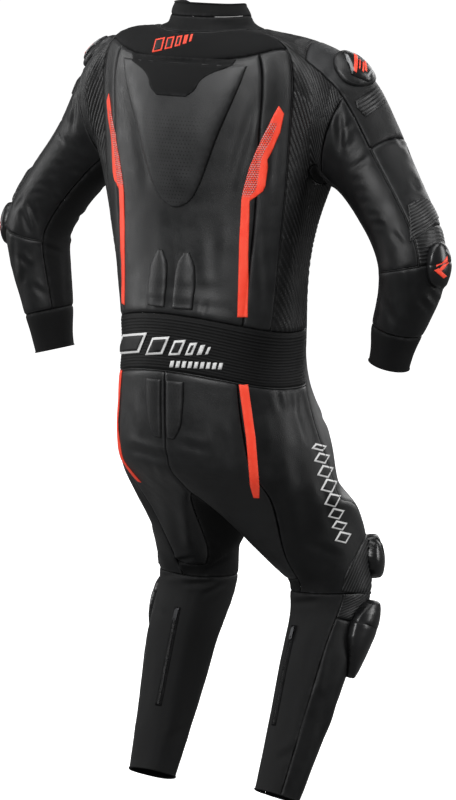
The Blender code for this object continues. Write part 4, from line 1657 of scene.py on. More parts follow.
@dataclass
class CordWork:
    """Lays the cords of the table along their seams."""

    skin: Skin
    finishes: dict[str, bpy.types.Material]
    sides: int = 8

    def build(self) -> None:
        """Find each seam's runs of edges and roll a cord along each."""
        borders: dict[tuple[int, int], list[int]] = {}
        for face in self.skin.mesh.polygons:
            for key in face.edge_keys:
                borders.setdefault(key, []).append(int(self.skin.labels[face.index]))
        for cording in CORDINGS:
            for half in Half:
                edges = [key for key, found in borders.items() if self.matches(cording, half, found)]
                if edges:
                    self.roll(cording, half, edges)

    def matches(self, cording: Cording, half: Half, found: list[int]) -> bool:
        """Whether an edge between these labels belongs to a cord on this half.

        Args:
            cording: the cord.
            half: the half.
            found: the labels on either side of the edge.

        Returns:
            True if it does.
        """
        names = [self.skin.names[number] for number in found]
        stems = sorted(stem(name) for name in names)
        wanted = sorted([cording.piece] + ([cording.other] if cording.other else []))
        if stems != wanted:
            return False
        if any(name.endswith(half.ending) for name in names):
            return True
        return half is Half.RIGHT and all(name == stem(name) for name in names)

    def roll(self, cording: Cording, half: Half, edges: list[tuple[int, int]]) -> None:
        """Roll a cord along the runs that these edges make."""
        curve = bpy.data.curves.new(cording.name, "CURVE")
        curve.dimensions, curve.bevel_depth, curve.bevel_resolution = "3D", cording.radius, self.sides // 2 - 2
        curve.use_fill_caps = True
        for run in runs_of(edges):
            closed = run[0] == run[-1]
            if closed:
                run = run[:-1]
            spline = curve.splines.new("POLY")
            spline.points.add(len(run) - 1)
            for point, index in zip(spline.points, run):
                place = self.skin.places[index] + self.skin.normals[index] * cording.lift
                point.co = (*place, 1.0)
            spline.use_cyclic_u = closed
        holder = put(cording.name, curve)
        bpy.context.view_layer.update()
        mesh = bpy.data.meshes.new_from_object(evaluated(holder))
        bpy.data.objects.remove(holder)
        bm = bmesh.new()
        bm.from_mesh(mesh)
        bmesh.ops.recalc_face_normals(bm, faces=bm.faces)
        show(cording.name + half.ending, bm, Slot.LEATHER, self.finishes[cording.finish])


def runs_of(edges: Iterable[tuple[int, int]]) -> list[list[int]]:
    """Chain edges into runs of vertices. A run that closes ends where it starts.

    Args:
        edges: pairs of vertices.

    Returns:
        Each run's vertices in order.
    """
    near: dict[int, list[int]] = {}
    for a, b in edges:
        near.setdefault(a, []).append(b)
        near.setdefault(b, []).append(a)
    runs = []
    starts = sorted(near, key=lambda vert: (len(near[vert]) != 1, vert))
    for start in starts:
        while near[start]:
            run = [start]
            while near[run[-1]]:
                following = near[run[-1]].pop()
                near[following].remove(run[-1])
                run.append(following)
            runs.append(run)
    return runs


# --- Finishes ------------------------------------------------------------------------------------


class Nodes:
    """A short hand for laying out a node tree."""

    def __init__(self, tree: bpy.types.NodeTree) -> None:
        """Keep the tree to work in."""
        self.tree = tree

    def add(self, kind: str, inputs: dict | None = None, **settings) -> bpy.types.Node:
        """Add a node.

        Args:
            kind: the node's type, without its common beginning.
            inputs: values or sockets for its inputs, by name or number.
            settings: the node's own properties.

        Returns:
            The node.
        """
        node = self.tree.nodes.new("ShaderNode" + kind)
        for key, value in settings.items():
            setattr(node, key, value)
        self.fill(node, inputs or {})
        return node

    def fill(self, node: bpy.types.Node, inputs: dict) -> None:
        """Set a node's inputs to values, or link them to sockets."""
        for key, value in inputs.items():
            if isinstance(value, bpy.types.NodeSocket):
                self.tree.links.new(value, node.inputs[key])
            else:
                node.inputs[key].default_value = value

    def math(self, operation: str, *values: bpy.types.NodeSocket | float, clamp: bool = False) -> bpy.types.NodeSocket:
        """The result of a sum on sockets or numbers."""
        return self.add("Math", dict(enumerate(values)), operation=operation, use_clamp=clamp).outputs[0]

    def span(
        self, value: bpy.types.NodeSocket, low: float, high: float, to_low: float = 0.0, to_high: float = 1.0
    ) -> bpy.types.NodeSocket:
        """A value carried from one span to another, and kept inside it."""
        keys = {"Value": value, "From Min": low, "From Max": high, "To Min": to_low, "To Max": to_high}
        return self.add("MapRange", keys).outputs["Result"]

    def mix(self, share: bpy.types.NodeSocket, one: object, other: object) -> bpy.types.NodeSocket:
        """A mix of two colours, each a socket or red, green and blue."""
        colours = {key: (*value, 1) if isinstance(value, tuple) else value for key, value in ((6, one), (7, other))}
        return self.add("Mix", {0: share, **colours}, data_type="RGBA").outputs[2]


def group(name: str, inputs: dict[str, tuple[str, object]], outputs: dict[str, str]) -> tuple:
    """Start a shared effect's node group.

    Args:
        name: the group's name.
        inputs: the kind and default of each input, by name.
        outputs: the kind of each output, by name.

    Returns:
        The group, its Nodes, and the sockets of its input and output ends.
    """
    tree = bpy.data.node_groups.new(name, "ShaderNodeTree")
    for key, (kind, default) in inputs.items():
        socket = tree.interface.new_socket(key, in_out="INPUT", socket_type="NodeSocket" + kind)
        if default is not None:
            socket.default_value = default
    for key, kind in outputs.items():
        tree.interface.new_socket(key, in_out="OUTPUT", socket_type="NodeSocket" + kind)
    nodes = Nodes(tree)
    start, end = tree.nodes.new("NodeGroupInput"), tree.nodes.new("NodeGroupOutput")
    return tree, nodes, start.outputs, end.inputs


def grain_group() -> bpy.types.NodeTree:
    """The pebbled grain of cowhide: small cells with fine pores over a slow swell."""
    tree, n, given, result = group(
        "Hide grain",
        {"Vector": ("Vector", None), "Cells": ("Float", 900.0), "Swell": ("Float", 30.0)},
        {"Height": "Float", "Patches": "Float"},
    )
    warp = n.add("TexNoise", {"Vector": given["Vector"], "Scale": 220.0, "Detail": 2.0})
    moved = n.add("VectorMath", {0: warp.outputs["Color"], 1: (0.0016, 0.0016, 0.0016)}, operation="MULTIPLY")
    place = n.add("VectorMath", {0: given["Vector"], 1: moved.outputs[0]}, operation="ADD").outputs[0]
    cells = n.add("TexVoronoi", {"Vector": place, "Scale": given["Cells"], "Randomness": 0.9}, feature="F1")
    fine = n.add("TexNoise", {"Vector": given["Vector"], "Scale": 1800.0, "Detail": 3.0, "Roughness": 0.6})
    swell = n.add("TexNoise", {"Vector": given["Vector"], "Scale": given["Swell"], "Detail": 4.0, "Roughness": 0.55})
    pebbles = n.math("MULTIPLY", n.math("SUBTRACT", 1.0, cells.outputs["Distance"]), 0.75)
    height = n.math("ADD", pebbles, n.math("MULTIPLY", fine.outputs["Fac"], 0.30))
    height = n.math("ADD", height, n.math("MULTIPLY", swell.outputs["Fac"], 0.9))
    tree.links.new(height, result["Height"])
    tree.links.new(n.span(swell.outputs["Fac"], 0.35, 0.68), result["Patches"])
    return tree


def seam_group() -> bpy.types.NodeTree:
    """How scuffed and how darkened by painted shadow a place is, by its distance from the nearest seam."""
    tree, n, given, result = group(
        "Seam wear",
        {"Vector": ("Vector", None), "Reach": ("Float", 7.0)},
        {"Shade": "Float", "Wear": "Float", "Stitch": "Float"},
    )
    seam = n.add("Attribute", attribute_name="seam", attribute_type="GEOMETRY").outputs["Fac"]
    far = n.math("MULTIPLY", seam, 1000.0)
    # Shade: a painted shadow beside the seam, full on the seam and gone 1.9 mm from it.
    shade = n.add("MapRange", {"Value": far, "From Min": 0.0, "From Max": 1.9, "To Min": 1.0, "To Max": 0.0})
    scuffs = n.add("TexNoise", {"Vector": given["Vector"], "Scale": 90.0, "Detail": 5.0, "Roughness": 0.7})
    near = n.add("MapRange", {"Value": far, "From Min": 1.5, "From Max": given["Reach"], "To Min": 1.0, "To Max": 0.0})
    wear = n.math("MULTIPLY", near.outputs[0], n.span(scuffs.outputs["Fac"], 0.42, 0.66), clamp=True)
    row = n.math("SUBTRACT", 0.5, n.math("ABSOLUTE", n.math("SUBTRACT", far, 3.2)))
    cut = n.add("SeparateXYZ", {0: n.add("UVMap", uv_map="cut").outputs["UV"]})
    along = n.math("MULTIPLY", n.math("ADD", cut.outputs[0], cut.outputs[1]), 1000.0 / 3.4)
    dash = n.span(n.math("SINE", n.math("MULTIPLY", along, 2 * math.pi)), -0.5, -0.2)
    tree.links.new(n.math("MULTIPLY", n.span(row, -0.1, 0.15), dash), result["Stitch"])
    tree.links.new(shade.outputs[0], result["Shade"])
    tree.links.new(wear, result["Wear"])
    return tree


def weave_group() -> bpy.types.NodeTree:
    """A fine knitted weave: two crossing sets of soft threads."""
    tree, n, given, result = group(
        "Knit weave",
        {"Vector": ("Vector", None), "Threads": ("Float", 900.0)},
        {"Height": "Float", "Fuzz": "Float"},
    )
    scaled = n.add("VectorMath", {0: given["Vector"], "Scale": given["Threads"]}, operation="SCALE")
    xyz = n.add("SeparateXYZ", {0: scaled.outputs[0]})
    slope = n.math("ADD", xyz.outputs[0], xyz.outputs[1])
    one = n.math("SINE", n.math("ADD", slope, xyz.outputs[2]))
    other = n.math("SINE", n.math("SUBTRACT", slope, xyz.outputs[2]))
    tree.links.new(n.math("MULTIPLY", one, other), result["Height"])
    fuzz = n.add("TexNoise", {"Vector": given["Vector"], "Scale": 700.0, "Detail": 4.0, "Roughness": 0.7})
    tree.links.new(fuzz.outputs["Fac"], result["Fuzz"])
    return tree


def dots_group() -> bpy.types.NodeTree:
    """Rows of round dots, every other row shifted by half a step, as a mask."""
    tree, n, given, result = group(
        "Rows of dots",
        {"Vector": ("Vector", None), "Pitch": ("Float", 5.0), "Radius": ("Float", 0.16)},
        {"Mask": "Float"},
    )
    scale = n.math("DIVIDE", 1000.0, given["Pitch"])
    place = n.add("VectorMath", {0: given["Vector"], "Scale": scale}, operation="SCALE")
    xyz = n.add("SeparateXYZ", {0: place.outputs[0]})
    row = n.math("FLOOR", xyz.outputs[1])
    shift = n.math("MULTIPLY", n.math("FLOORED_MODULO", row, 2.0), 0.5)
    x = n.math("SUBTRACT", n.math("FRACT", n.math("ADD", xyz.outputs[0], shift)), 0.5)
    y = n.math("SUBTRACT", n.math("FRACT", xyz.outputs[1]), 0.5)
    far = n.math("SQRT", n.math("ADD", n.math("MULTIPLY", x, x), n.math("MULTIPLY", y, y)))
    edge = n.math("SUBTRACT", given["Radius"], far)
    tree.links.new(n.span(edge, -0.04, 0.04), result["Mask"])
    return tree


@dataclass(frozen=True)
class Finish:
    """A finish of the suit.

    colour, second: its two tones, with the roughness of each. bump: how deep its grain or weave is.
    worn: the colour of its scuffs and stitches, and of the painted highlight on its rib crests. glow:
    how much it shines by itself, a painted glow, since it is no lamp. wear, shade: how much the
    scuffs and the painted shadow beside its seams show. holes: whether it is perforated. dots:
    whether it fades into printed dots along one edge. ribbed: whether painted shade darkens its
    folds and a painted highlight lightens its crests.
    stitch: how much the row of stitches beside its seams shows. dark_below: the height under which
    the leather is darker.
    """

    name: str
    colour: Triple
    second: Triple
    roughness: float
    rough_second: float
    bump: float
    grain: float = 0.0
    weave: float = 0.0
    sheen: float = 0.0
    specular: float = 0.4
    metallic: float = 0.0
    worn: Triple = (0.05, 0.05, 0.052)
    glow: float = 0.0
    wear: float = 0.35
    shade: float = 0.75
    holes: bool = False
    dots: bool = False
    ribbed: bool = False
    stitch: float = 0.0
    dark_below: float | None = None


FINISHES = (
    Finish(
        "leather", (0.0075, 0.0079, 0.0084), (0.0120, 0.0126, 0.0132), 0.38, 0.50, 0.35,
        grain=700.0, specular=0.55, stitch=0.35,
    ),
    # The sleeve, thigh, shin and collar finishes are darker copies of the same black leather: painted shade on those
    # parts.
    Finish(
        "sleeve", (0.0044, 0.0047, 0.0051), (0.0076, 0.0080, 0.0085), 0.40, 0.52, 0.35,
        grain=700.0, specular=0.34, stitch=0.35,
    ),
    Finish(
        "thigh", (0.0045, 0.0048, 0.0052), (0.0080, 0.0084, 0.0089), 0.38, 0.52, 0.42,
        grain=700.0, specular=0.38, stitch=0.35,
    ),
    Finish(
        "shin", (0.0034, 0.0036, 0.0039), (0.0058, 0.0061, 0.0065), 0.44, 0.58, 0.35,
        grain=700.0, specular=0.3, stitch=0.35,
    ),
    Finish(
        "collar", (0.0034, 0.0036, 0.0039), (0.0056, 0.0058, 0.0061), 0.62, 0.74, 0.30,
        grain=900.0, specular=0.2, stitch=0.3,
    ),
    Finish(
        "pebble", (0.022, 0.0226, 0.0238), (0.034, 0.0348, 0.0362), 0.50, 0.62, 0.55,
        grain=520.0, specular=0.36, stitch=0.35, dark_below=-0.064,
    ),
    # The hump's finish is a lighter copy of the back's leather: a painted highlight on its raised crown.
    Finish(
        "hump", (0.0190, 0.0195, 0.0203), (0.0270, 0.0276, 0.0286), 0.42, 0.54, 0.32,
        grain=700.0, specular=0.55, holes=True,
    ),
    Finish(
        "accordion", (0.0062, 0.0065, 0.0069), (0.0110, 0.0114, 0.0119), 0.38, 0.50, 0.25,
        grain=800.0, ribbed=True, worn=(0.085, 0.086, 0.088), wear=0.1,
    ),
    Finish(
        "belt", (0.0034, 0.0036, 0.0038), (0.0056, 0.0058, 0.0061), 0.50, 0.62, 0.25,
        weave=2400.0, ribbed=True, worn=(0.026, 0.026, 0.027), wear=0.1, specular=0.18,
    ),
    Finish(
        "stretch", (0.0030, 0.0031, 0.0034), (0.0052, 0.0054, 0.0057), 0.72, 0.86, 0.30,
        weave=1400.0, sheen=0.02, specular=0.2,
    ),
    Finish(
        "calf", (0.0062, 0.0064, 0.0067), (0.0090, 0.0092, 0.0096), 0.62, 0.76, 0.25,
        weave=1700.0, sheen=0.02, specular=0.25,
    ),
    Finish(
        "neoprene", (0.0032, 0.0034, 0.0037), (0.0050, 0.0052, 0.0055), 0.66, 0.78, 0.18,
        weave=2200.0, sheen=0.02, specular=0.2,
    ),
    Finish(
        "pad", (0.0095, 0.0099, 0.0105), (0.0145, 0.0150, 0.0156), 0.42, 0.54, 0.40,
        grain=620.0, specular=0.5, holes=True, stitch=0.5,
    ),
    Finish(
        "cup", (0.0065, 0.0068, 0.0073), (0.0105, 0.0109, 0.0114), 0.36, 0.48, 0.35,
        grain=620.0, specular=0.55, stitch=0.9,
    ),
    Finish(
        "red", (0.90, 0.055, 0.026), (0.95, 0.085, 0.042), 0.42, 0.54, 0.18,
        grain=900.0, worn=(0.95, 0.20, 0.12), shade=0.3, glow=0.28,
    ),
    Finish(
        "stripe", (0.90, 0.055, 0.026), (0.95, 0.085, 0.042), 0.42, 0.54, 0.18,
        grain=900.0, worn=(0.95, 0.20, 0.12), shade=0.3, dots=True, glow=0.28,
    ),
    Finish(
        "white", (0.70, 0.70, 0.70), (0.80, 0.80, 0.79), 0.50, 0.60, 0.15,
        grain=900.0, worn=(0.6, 0.6, 0.6), shade=0.2, glow=0.15,
    ),
    Finish(
        "ink", (0.0040, 0.0042, 0.0045), (0.0062, 0.0064, 0.0068), 0.50, 0.62, 0.20,
        grain=900.0, shade=0.2,
    ),
    Finish(
        "silver", (0.22, 0.225, 0.23), (0.36, 0.365, 0.375), 0.30, 0.42, 0.10,
        grain=700.0, worn=(0.6, 0.6, 0.6), shade=0.3,
    ),
    Finish(
        "tape", (0.0030, 0.0031, 0.0034), (0.0052, 0.0054, 0.0057), 0.74, 0.86, 0.40,
        weave=2600.0, specular=0.2,
    ),
    Finish(
        "plastic", (0.0050, 0.0052, 0.0056), (0.0078, 0.0080, 0.0085), 0.24, 0.34, 0.05,
        grain=300.0, specular=0.55, wear=0.04, shade=0.3,
    ),
    Finish(
        "nickel", (0.055, 0.056, 0.059), (0.085, 0.086, 0.090), 0.22, 0.34, 0.04,
        grain=500.0, metallic=1.0,
    ),
)


@dataclass
class Workshop:
    """Makes the shared effects once and a material from each finish."""

    materials: dict[str, bpy.types.Material] = field(default_factory=dict)

    def build(self) -> None:
        """Make the groups and every material."""
        self.grain, self.seam, self.weave, self.dots = grain_group(), seam_group(), weave_group(), dots_group()
        for finish in FINISHES:
            self.materials[finish.name] = self.make(finish)

    def make(self, finish: Finish) -> bpy.types.Material:
        """A material of a finish, with its grain or weave, its two tones and its wear."""
        material = bpy.data.materials.new(finish.name)
        material.use_nodes = True
        n = Nodes(material.node_tree)
        shader = material.node_tree.nodes["Principled BSDF"]
        place = n.add("TexCoord").outputs["Object"]
        # Scuffs, a painted shadow beside the seams and rows of stitches, all by the distance from the nearest seam.
        worn = n.add("Group", {"Vector": place}, node_tree=self.seam)
        if finish.weave:
            surface = n.add("Group", {"Vector": place, "Threads": finish.weave}, node_tree=self.weave)
            share = n.span(surface.outputs["Fuzz"], 0.35, 0.65)
        else:
            surface = n.add("Group", {"Vector": place, "Cells": finish.grain}, node_tree=self.grain)
            share = surface.outputs["Patches"]
        tone = n.mix(share, finish.colour, finish.second)
        tone = n.mix(n.math("MULTIPLY", worn.outputs["Wear"], finish.wear), tone, finish.worn)
        # Painted shadow beside the seams: the tone darkens towards a quarter of the colour on a seam.
        dark = tuple(value * 0.25 for value in finish.colour)
        tone = n.mix(n.math("MULTIPLY", worn.outputs["Shade"], finish.shade), tone, dark)
        if finish.dark_below is not None:
            height = n.add("SeparateXYZ", {0: place}).outputs[2]
            low = n.span(height, finish.dark_below - 0.012, finish.dark_below + 0.012, 1.0, 0.0)
            tone = n.mix(low, tone, (0.0036, 0.0038, 0.0041))
        if finish.ribbed:
            # Painted shade darkens the rib folds, and a painted highlight lightens their crests.
            fold = n.add("Attribute", attribute_name="fold", attribute_type="GEOMETRY").outputs["Fac"]
            tone = n.mix(n.span(fold, 0.50, 0.90, 1.0, 0.0), tone, (0.0010, 0.0010, 0.0011))
            tone = n.mix(n.span(fold, 0.90, 1.0, 0.0, 0.60), tone, finish.worn)
        if finish.stitch:
            tone = n.mix(n.math("MULTIPLY", worn.outputs["Stitch"], finish.stitch), tone, finish.worn)
        if finish.holes:
            tone = self.perforate(n, tone)
        if finish.dots:
            tone = self.fade_to_dots(n, tone)
        bump = n.add("Bump", {"Height": surface.outputs["Height"], "Strength": finish.bump, "Distance": 0.0006})
        inputs = {
            "Base Color": tone,
            "Roughness": n.span(share, 0.0, 1.0, finish.roughness, finish.rough_second),
            "Normal": bump.outputs["Normal"],
            "Metallic": finish.metallic,
            "Specular IOR Level": finish.specular,
            "Sheen Weight": finish.sheen,
        }
        # A painted glow: the red and white finishes shine by themselves, though no piece is a lamp.
        if finish.glow:
            inputs |= {"Emission Color": (*finish.colour, 1), "Emission Strength": finish.glow}
        n.fill(shader, inputs)
        return material

    def rows_of_dots(self, n: Nodes, face: bpy.types.NodeSocket, pitch: float, radius: float) -> bpy.types.NodeSocket:
        """The mask of rows of dots on a piece. pitch: millimetres. radius: a share of the pitch."""
        keys = {"Vector": face, "Pitch": pitch, "Radius": radius}
        return n.add("Group", keys, node_tree=self.dots).outputs["Mask"]

    def perforate(self, n: Nodes, tone: bpy.types.NodeSocket) -> bpy.types.NodeSocket:
        """Punch small dark holes over the middle of a piece."""
        face = n.add("UVMap", uv_map="face").outputs["UV"]
        outline = n.add("SeparateXYZ", {0: n.add("UVMap", uv_map="outline").outputs["UV"]})
        holes = self.rows_of_dots(n, face, 6.4, 0.19)
        holes = n.math("MULTIPLY", holes, n.span(outline.outputs[1], 0.004, 0.006))
        middle = n.math("ABSOLUTE", n.math("SUBTRACT", outline.outputs[0], 0.5))
        holes = n.math("MULTIPLY", holes, n.span(middle, 0.24, 0.40, 1.0, 0.0))
        up = n.add("SeparateXYZ", {0: face}).outputs[1]
        holes = n.math("MULTIPLY", holes, n.span(up, -0.13, -0.11, 1.0, 0.0))
        return n.mix(holes, tone, (0.002, 0.002, 0.002))

    def fade_to_dots(self, n: Nodes, tone: bpy.types.NodeSocket) -> bpy.types.NodeSocket:
        """Print pale and dark dots over the wide end of a stripe, towards its inner edge."""
        face = n.add("UVMap", uv_map="face").outputs["UV"]
        outline = n.add("SeparateXYZ", {0: n.add("UVMap", uv_map="outline").outputs["UV"]})
        up = n.add("SeparateXYZ", {0: face}).outputs[1]
        zone = n.math("MULTIPLY", n.span(up, -0.258, -0.250), n.span(up, -0.132, -0.126, 1.0, 0.0))
        zone = n.math("MULTIPLY", zone, n.span(outline.outputs[0], 0.56, 0.64, 1.0, 0.0))
        for pitch, radius, colour in ((4.3, 0.33, (0.55, 0.40, 0.40)), (3.4, 0.40, (0.09, 0.03, 0.028))):
            tone = n.mix(n.math("MULTIPLY", self.rows_of_dots(n, face, pitch, radius), zone), tone, colour)
        return tone


# --- The studio ----------------------------------------------------------------------------------


@dataclass(frozen=True)
class Softbox:
    """A large soft lamp, at a place and aimed at the suit's middle, in world metres."""

    name: str
    place: Triple
    size: tuple[float, float]
    power: float
    aim: Triple = (0.0, 0.0, -0.60)


@dataclass
class Studio:
    """The camera, the lamps, the pale surroundings and the floor."""

    azimuth: float = 216.5
    elevation: float = 9.5
    distance: float = 8.0
    lens: float = 205.7
    middle: Triple = (-0.01829, -0.01354, -0.633)
    floor: float = -1.352
    glow: float = 0.92
    ambient: float = 0.16
    lamps: tuple[Softbox, ...] = (
        Softbox("key", (-0.5, 3.4, 1.4), (1.5, 2.2), 92.0),
        Softbox("rim_right", (-3.0, -1.6, 0.5), (1.0, 2.8), 62.0),
        Softbox("rim_left", (3.2, 0.9, 0.4), (0.8, 2.4), 36.0),
        Softbox("top", (0.0, 0.6, 3.2), (3.0, 3.0), 72.0),
        Softbox("fill_front", (0.4, -3.6, 0.6), (2.4, 2.4), 40.0),
    )

    def build(self) -> None:
        """Set up the camera first, then the light and the floor."""
        self.place_camera()
        for lamp in self.lamps:
            self.hang(lamp)
        self.lay_floor()
        self.surround()
        bpy.context.scene.view_settings.view_transform = "Standard"

    def place_camera(self) -> None:
        """Stand the camera at its angle."""
        a, e = math.radians(self.azimuth), math.radians(self.elevation)
        towards = Vector((math.sin(a) * math.cos(e), -math.cos(a) * math.cos(e), math.sin(e)))
        data = bpy.data.cameras.new("camera")
        data.lens, data.sensor_width, data.sensor_fit = self.lens, 36.0, "AUTO"
        data.clip_end = 100.0
        camera = put("camera", data)
        camera.location = Vector(self.middle) + towards * self.distance
        camera.rotation_euler = towards.to_track_quat("Z", "Y").to_euler()
        bpy.context.scene.camera = camera

    @staticmethod
    def hang(lamp: Softbox) -> None:
        """Hang one softbox."""
        data = bpy.data.lights.new(lamp.name, "AREA")
        data.shape, data.energy = "RECTANGLE", lamp.power
        data.size, data.size_y = lamp.size
        item = put(lamp.name, data)
        item.location = lamp.place
        away = Vector(lamp.place) - Vector(lamp.aim)
        item.rotation_euler = away.to_track_quat("Z", "Y").to_euler()

    def lay_floor(self) -> None:
        """Lay a wide pale floor under the hems."""
        bm = bmesh.new()
        bmesh.ops.create_grid(bm, x_segments=1, y_segments=1, size=30.0)
        bmesh.ops.translate(bm, verts=bm.verts, vec=(0, 0, self.floor))
        mesh = bpy.data.meshes.new("floor")
        bm.to_mesh(mesh)
        bm.free()
        floor = put("floor", mesh)
        material = bpy.data.materials.new("pale floor")
        material.use_nodes = True
        Nodes(material.node_tree).fill(
            material.node_tree.nodes["Principled BSDF"],
            {
                "Base Color": (0.85, 0.85, 0.85, 1),
                "Roughness": 0.9,
                "Specular IOR Level": 0.1,
                "Emission Color": (1, 1, 1, 1),
                "Emission Strength": self.glow,
            },
        )
        mesh.materials.append(material)
        floor.visible_diffuse = floor.visible_glossy = False

    def surround(self) -> None:
        """Fill the room with even pale light, white where the camera sees it."""
        world = bpy.data.worlds.new("room")
        world.use_nodes = True
        n = Nodes(world.node_tree)
        dim = world.node_tree.nodes["Background"]
        n.fill(dim, {"Color": (1, 1, 1, 1), "Strength": self.ambient})
        white = n.add("Background", {"Color": (1, 1, 1, 1), "Strength": 1.0})
        direct = n.add("LightPath").outputs["Is Camera Ray"]
        both = n.add("MixShader", {0: direct, 1: dim.outputs[0], 2: white.outputs[0]})
        world.node_tree.links.new(both.outputs[0], world.node_tree.nodes["World Output"].inputs["Surface"])
        bpy.context.scene.world = world


# --- The table of creases ------------------------------------------------------------------------


def folds(pieces: str, view: View, rows: Sequence[Sequence[float]], **halves: object) -> list[Crease]:
    """The creases of some pieces, from rows of numbers.

    Args:
        pieces: the stems of the pieces that they are pressed into, with spaces between.
        view: the view that their places are given in.
        rows: for each its two ends, its width, depth and bow, and the side of its ridge.
        halves: halves and straight, as a crease has them.

    Returns:
        The creases.
    """
    return [Crease(tuple(pieces.split()), view, row[0:2], row[2:4], *row[4:8], **halves) for row in rows]


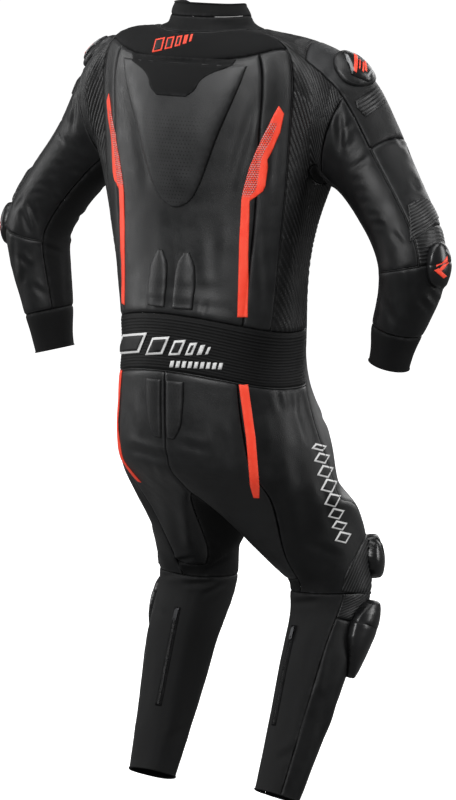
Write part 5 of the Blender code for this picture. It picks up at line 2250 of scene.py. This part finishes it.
CREASES = (
    *folds(
        "back_sleeve", QUARTER, (
            (201, 388, 242, 415, 5, 2.8, -2, 1), (192, 424, 217, 438, 4.5, 1.9, 0, 1),
            (189, 450, 214, 472, 4.5, 1.7, 0, -1), (206, 369, 228, 376, 4, 1.3, 0, 1),
            (212, 352, 234, 359, 4, 1.4, 1, 1), (220, 332, 242, 338, 4, 1.3, 0, 1),
            (233, 313, 256, 312, 4, 1.3, 1, 1), (243, 299, 266, 294, 4.5, 1.4, 0, 1),
            (275, 411, 296, 350, 7, 1.4, 2, -1), (273, 287, 298, 254, 5, 1.5, 0, 1),
            (217, 511, 257, 438, 8, 1.6, 3, 1),
        ),
    ),
    *folds(
        "upper_sleeve", QUARTER, (
            (287, 455, 298, 424, 5, 2.2, 0, 1), (298, 438, 315, 411, 5, 2.2, 1, -1),
            (310, 376, 322, 350, 5, 2.0, 0, 1), (252, 455, 287, 438, 5, 1.7, 0, 1),
            (266, 490, 301, 476, 6, 1.6, 1, 1), (284, 341, 345, 329, 6, 1.2, 0, 1),
            (318, 402, 336, 368, 6, 1.6, 0, -1),
        ),
    ),
    *folds(
        "forearm", QUARTER, (
            (345, 201, 368, 175, 5, 2.4, 0, 1), (336, 182, 357, 159, 5, 2.2, 1, -1),
            (284, 228, 294, 140, 8, 1.6, 2, 1), (301, 242, 315, 175, 8, 1.4, 0, -1),
            (318, 175, 345, 144, 5, 1.7, 0, 1), (262, 175, 284, 122, 6, 1.5, 0, 1),
        ),
    ),
    *folds(
        "shoulder back_sleeve", QUARTER, (
            (186, 504, 192, 406, 6, 2.8, 0, 1), (161, 534, 186, 574, 7, 1.6, 0, 1),
            (164, 508, 206, 522, 5, 2.0, 1, 1),
        ),
    ),
    *folds(
        "back_sleeve forearm under_sleeve upper_sleeve", QUARTER, (
            (-313, 368, -287, 341, 5, 2.2, 0, 1), (-369, 343, -352, 294, 5, 2.0, 1, 1),
            (-359, 364, -336, 294, 5, 1.8, 0, -1), (-376, 262, -355, 236, 5, 2.2, 0, 1),
            (-294, 472, -259, 438, 6, 1.8, 1, 1), (-268, 508, -233, 455, 8, 1.7, 0, -1),
            (-284, 411, -242, 399, 5, 1.6, 0, 1), (-346, 280, -294, 262, 5, 1.7, 0, 1),
            (-355, 210, -312, 175, 6, 1.5, 1, 1), (-294, 298, -287, 140, 6, 1.8, 0, 1),
            (-252, 525, -224, 438, 7, 2.0, 0, 1),
        ),
        halves=(Half.LEFT,), straight=True,
    ),
    *folds(
        "back_panel", QUARTER, (
            (-166, 525, -136, 341, 10, 1.6, 2, 1), (56, 534, -5, 324, 9, 2.0, -3, 1),
            (-102, 324, -91, 175, 10, 1.3, 0, -1), (-23, 324, -26, 175, 10, 1.3, 0, 1),
            (-136, 201, 12, 192, 8, 0.7, -4, 1), (38, 298, 60, 175, 7, 1.5, 0, 1),
            (-175, 182, 21, 154, 6, 0.9, -3, 1), (-66, 280, -49, 175, 12, 1.1, 0, 1),
            (-136, 175, -130, 150, 5, 1.3, 0, 1), (-38, 172, -44, 136, 5, 1.3, 0, -1),
        ),
        halves=(Half.RIGHT,),
    ),
    *folds(
        "back_side", QUARTER, (
            (47, 298, 60, 140, 6, 1.3, 0, 1), (77, 455, 70, 350, 6, 1.2, 0, -1),
        ),
    ),
    *folds(
        "seat thigh_outer crotch_stretch", QUARTER, (
            (-189, -79, -88, -103, 8, 3.6, -3, 1), (-108, -94, -14, -158, 8, 3.6, 0, 1),
            (-32, -147, 28, -206, 7, 2.8, 0, 1), (-154, -122, -110, -280, 12, 2.2, 3, 1),
            (-66, -140, -49, -280, 12, 2.2, 0, -1), (-93, -175, -84, -271, 9, 1.7, 0, 1),
            (-136, -105, -119, -149, 6, 1.5, 0, 1), (-175, 0, -161, -70, 9, 1.5, 0, 1),
            (-40, -245, 7, -280, 6, 2.2, 0, 1),
        ),
        halves=(Half.LEFT,), straight=True,
    ),
    *folds(
        "thigh_outer", QUARTER, (
            (82, 26, 93, -22, 6, 1.2, 0, 1), (100, 28, 112, -24, 6, 1.2, 0, 1), (121, 20, 129, -40, 6, 1.2, 0, -1),
            (60, -52, 100, -280, 14, 2.2, 4, 1), (161, -122, 184, -245, 9, 2.0, 0, 1),
            (126, -9, 147, -88, 8, 1.8, 0, -1), (108, -70, 158, -280, 14, 1.8, 0, 1),
            (42, 0, 60, -122, 10, 1.4, 0, 1), (126, -245, 205, -280, 7, 1.5, 3, 1),
        ),
    ),
    *folds(
        "seat", QUARTER, (
            (18, 0, 32, -175, 10, 1.8, 0, 1), (-75, -122, 14, -144, 8, 1.6, 0, 1),
            (-98, -70, -23, -91, 7, 1.5, 0, 1), (-23, -35, 7, -122, 9, 1.4, 0, -1),
        ),
        halves=(Half.RIGHT,),
    ),
    *folds(
        "calf seat crotch_stretch", QUARTER, (
            (-114, -292, -54, -280, 5, 2.8, 0, 1), (-88, -329, -10, -324, 5, 3.0, -2, 1),
            (-52, -354, 4, -324, 5, 2.6, 0, 1), (7, -276, -49, -315, 6, 2.6, 0, -1),
            (-122, -315, -66, -310, 6, 2.2, 0, 1),
        ),
        halves=(Half.LEFT,), straight=True,
    ),
    *folds(
        "calf", QUARTER, (
            (-136, -420, -154, -595, 10, 2.0, 0, 1), (-23, -420, -66, -595, 10, 2.2, 2, 1),
            (-119, -607, -63, -586, 7, 1.5, 0, 1), (-145, -350, -119, -394, 8, 1.7, 0, 1),
            (-75, -525, -98, -639, 9, 1.4, 0, -1),
        ),
        halves=(Half.LEFT,), straight=True,
    ),
    *folds(
        "calf", QUARTER, (
            (122, -336, 187, -324, 5, 2.8, 0, 1), (105, -360, 164, -354, 6, 2.0, 1, 1),
            (130, -304, 200, -312, 5, 1.9, 0, 1), (126, -420, 100, -630, 10, 2.0, 0, 1),
            (158, -385, 126, -525, 9, 1.6, 0, -1), (79, -634, 130, -604, 7, 1.5, 0, 1),
        ),
        halves=(Half.RIGHT,),
    ),
    *folds(
        "shin", QUARTER, (
            (178, -525, 147, -648, 8, 1.9, 0, 1), (161, -420, 147, -525, 7, 1.6, 0, 1),
            (205, -508, 178, -595, 6, 1.9, 0, -1),
        ),
    ),
    *folds(
        "front", FRONT, (
            (-160, -100, -110, -150, 8, 2.0, 0, 1), (-150, -330, -60, -360, 8, 1.9, 4, 1),
            (-160, -420, -40, -440, 8, 2.4, -3, 1), (-150, -480, -30, -500, 8, 2.6, 3, -1),
            (-140, -540, -40, -560, 8, 2.2, 0, 1), (-120, -620, -30, -700, 9, 2.4, 3, 1),
            (-160, -640, -80, -740, 9, 2.2, 0, 1), (-150, -760, -60, -790, 8, 2.6, -3, 1),
            (-170, -860, -110, -880, 7, 1.9, 0, 1), (-60, -200, -70, -300, 10, 1.5, 0, 1),
        ),
    ),
    *folds(
        "shin", FRONT, (
            (-190, -1130, -150, -1180, 8, 1.9, 0, 1), (-180, -1210, -140, -1250, 7, 1.9, 2, 1),
            (-165, -1270, -120, -1290, 6, 1.6, 0, -1),
        ),
    ),
    *folds(
        "under_sleeve upper_sleeve forearm", FRONT, (
            (-330, -260, -290, -290, 6, 2.0, 0, 1), (-360, -330, -330, -345, 6, 2.2, 0, 1),
            (-390, -385, -350, -372, 5, 2.4, 0, -1), (-400, -425, -370, -405, 6, 2.0, 0, 1),
            (-300, -190, -270, -235, 7, 2.0, 0, 1),
        ),
    ),
)


def main() -> None:
    """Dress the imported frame: the studio, the skin, the cloth and what lies on it."""
    logging.basicConfig(level=logging.INFO, format="%(message)s", stream=sys.stdout)
    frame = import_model()
    Studio().build()
    workshop = Workshop()
    workshop.build()
    skin = Skin(Cage(), CREASES)
    skin.build()
    PatternPieces(skin, workshop.materials).build()
    LaidPieces(skin, workshop.materials).build()
    zips = ZipWork(skin, workshop.materials)
    zips.build()
    zips.dress_tabs(frame["nodes"])
    CordWork(skin, workshop.materials).build()
    bpy.data.objects.remove(skin.holder)


if __name__ == "__main__":
    main()
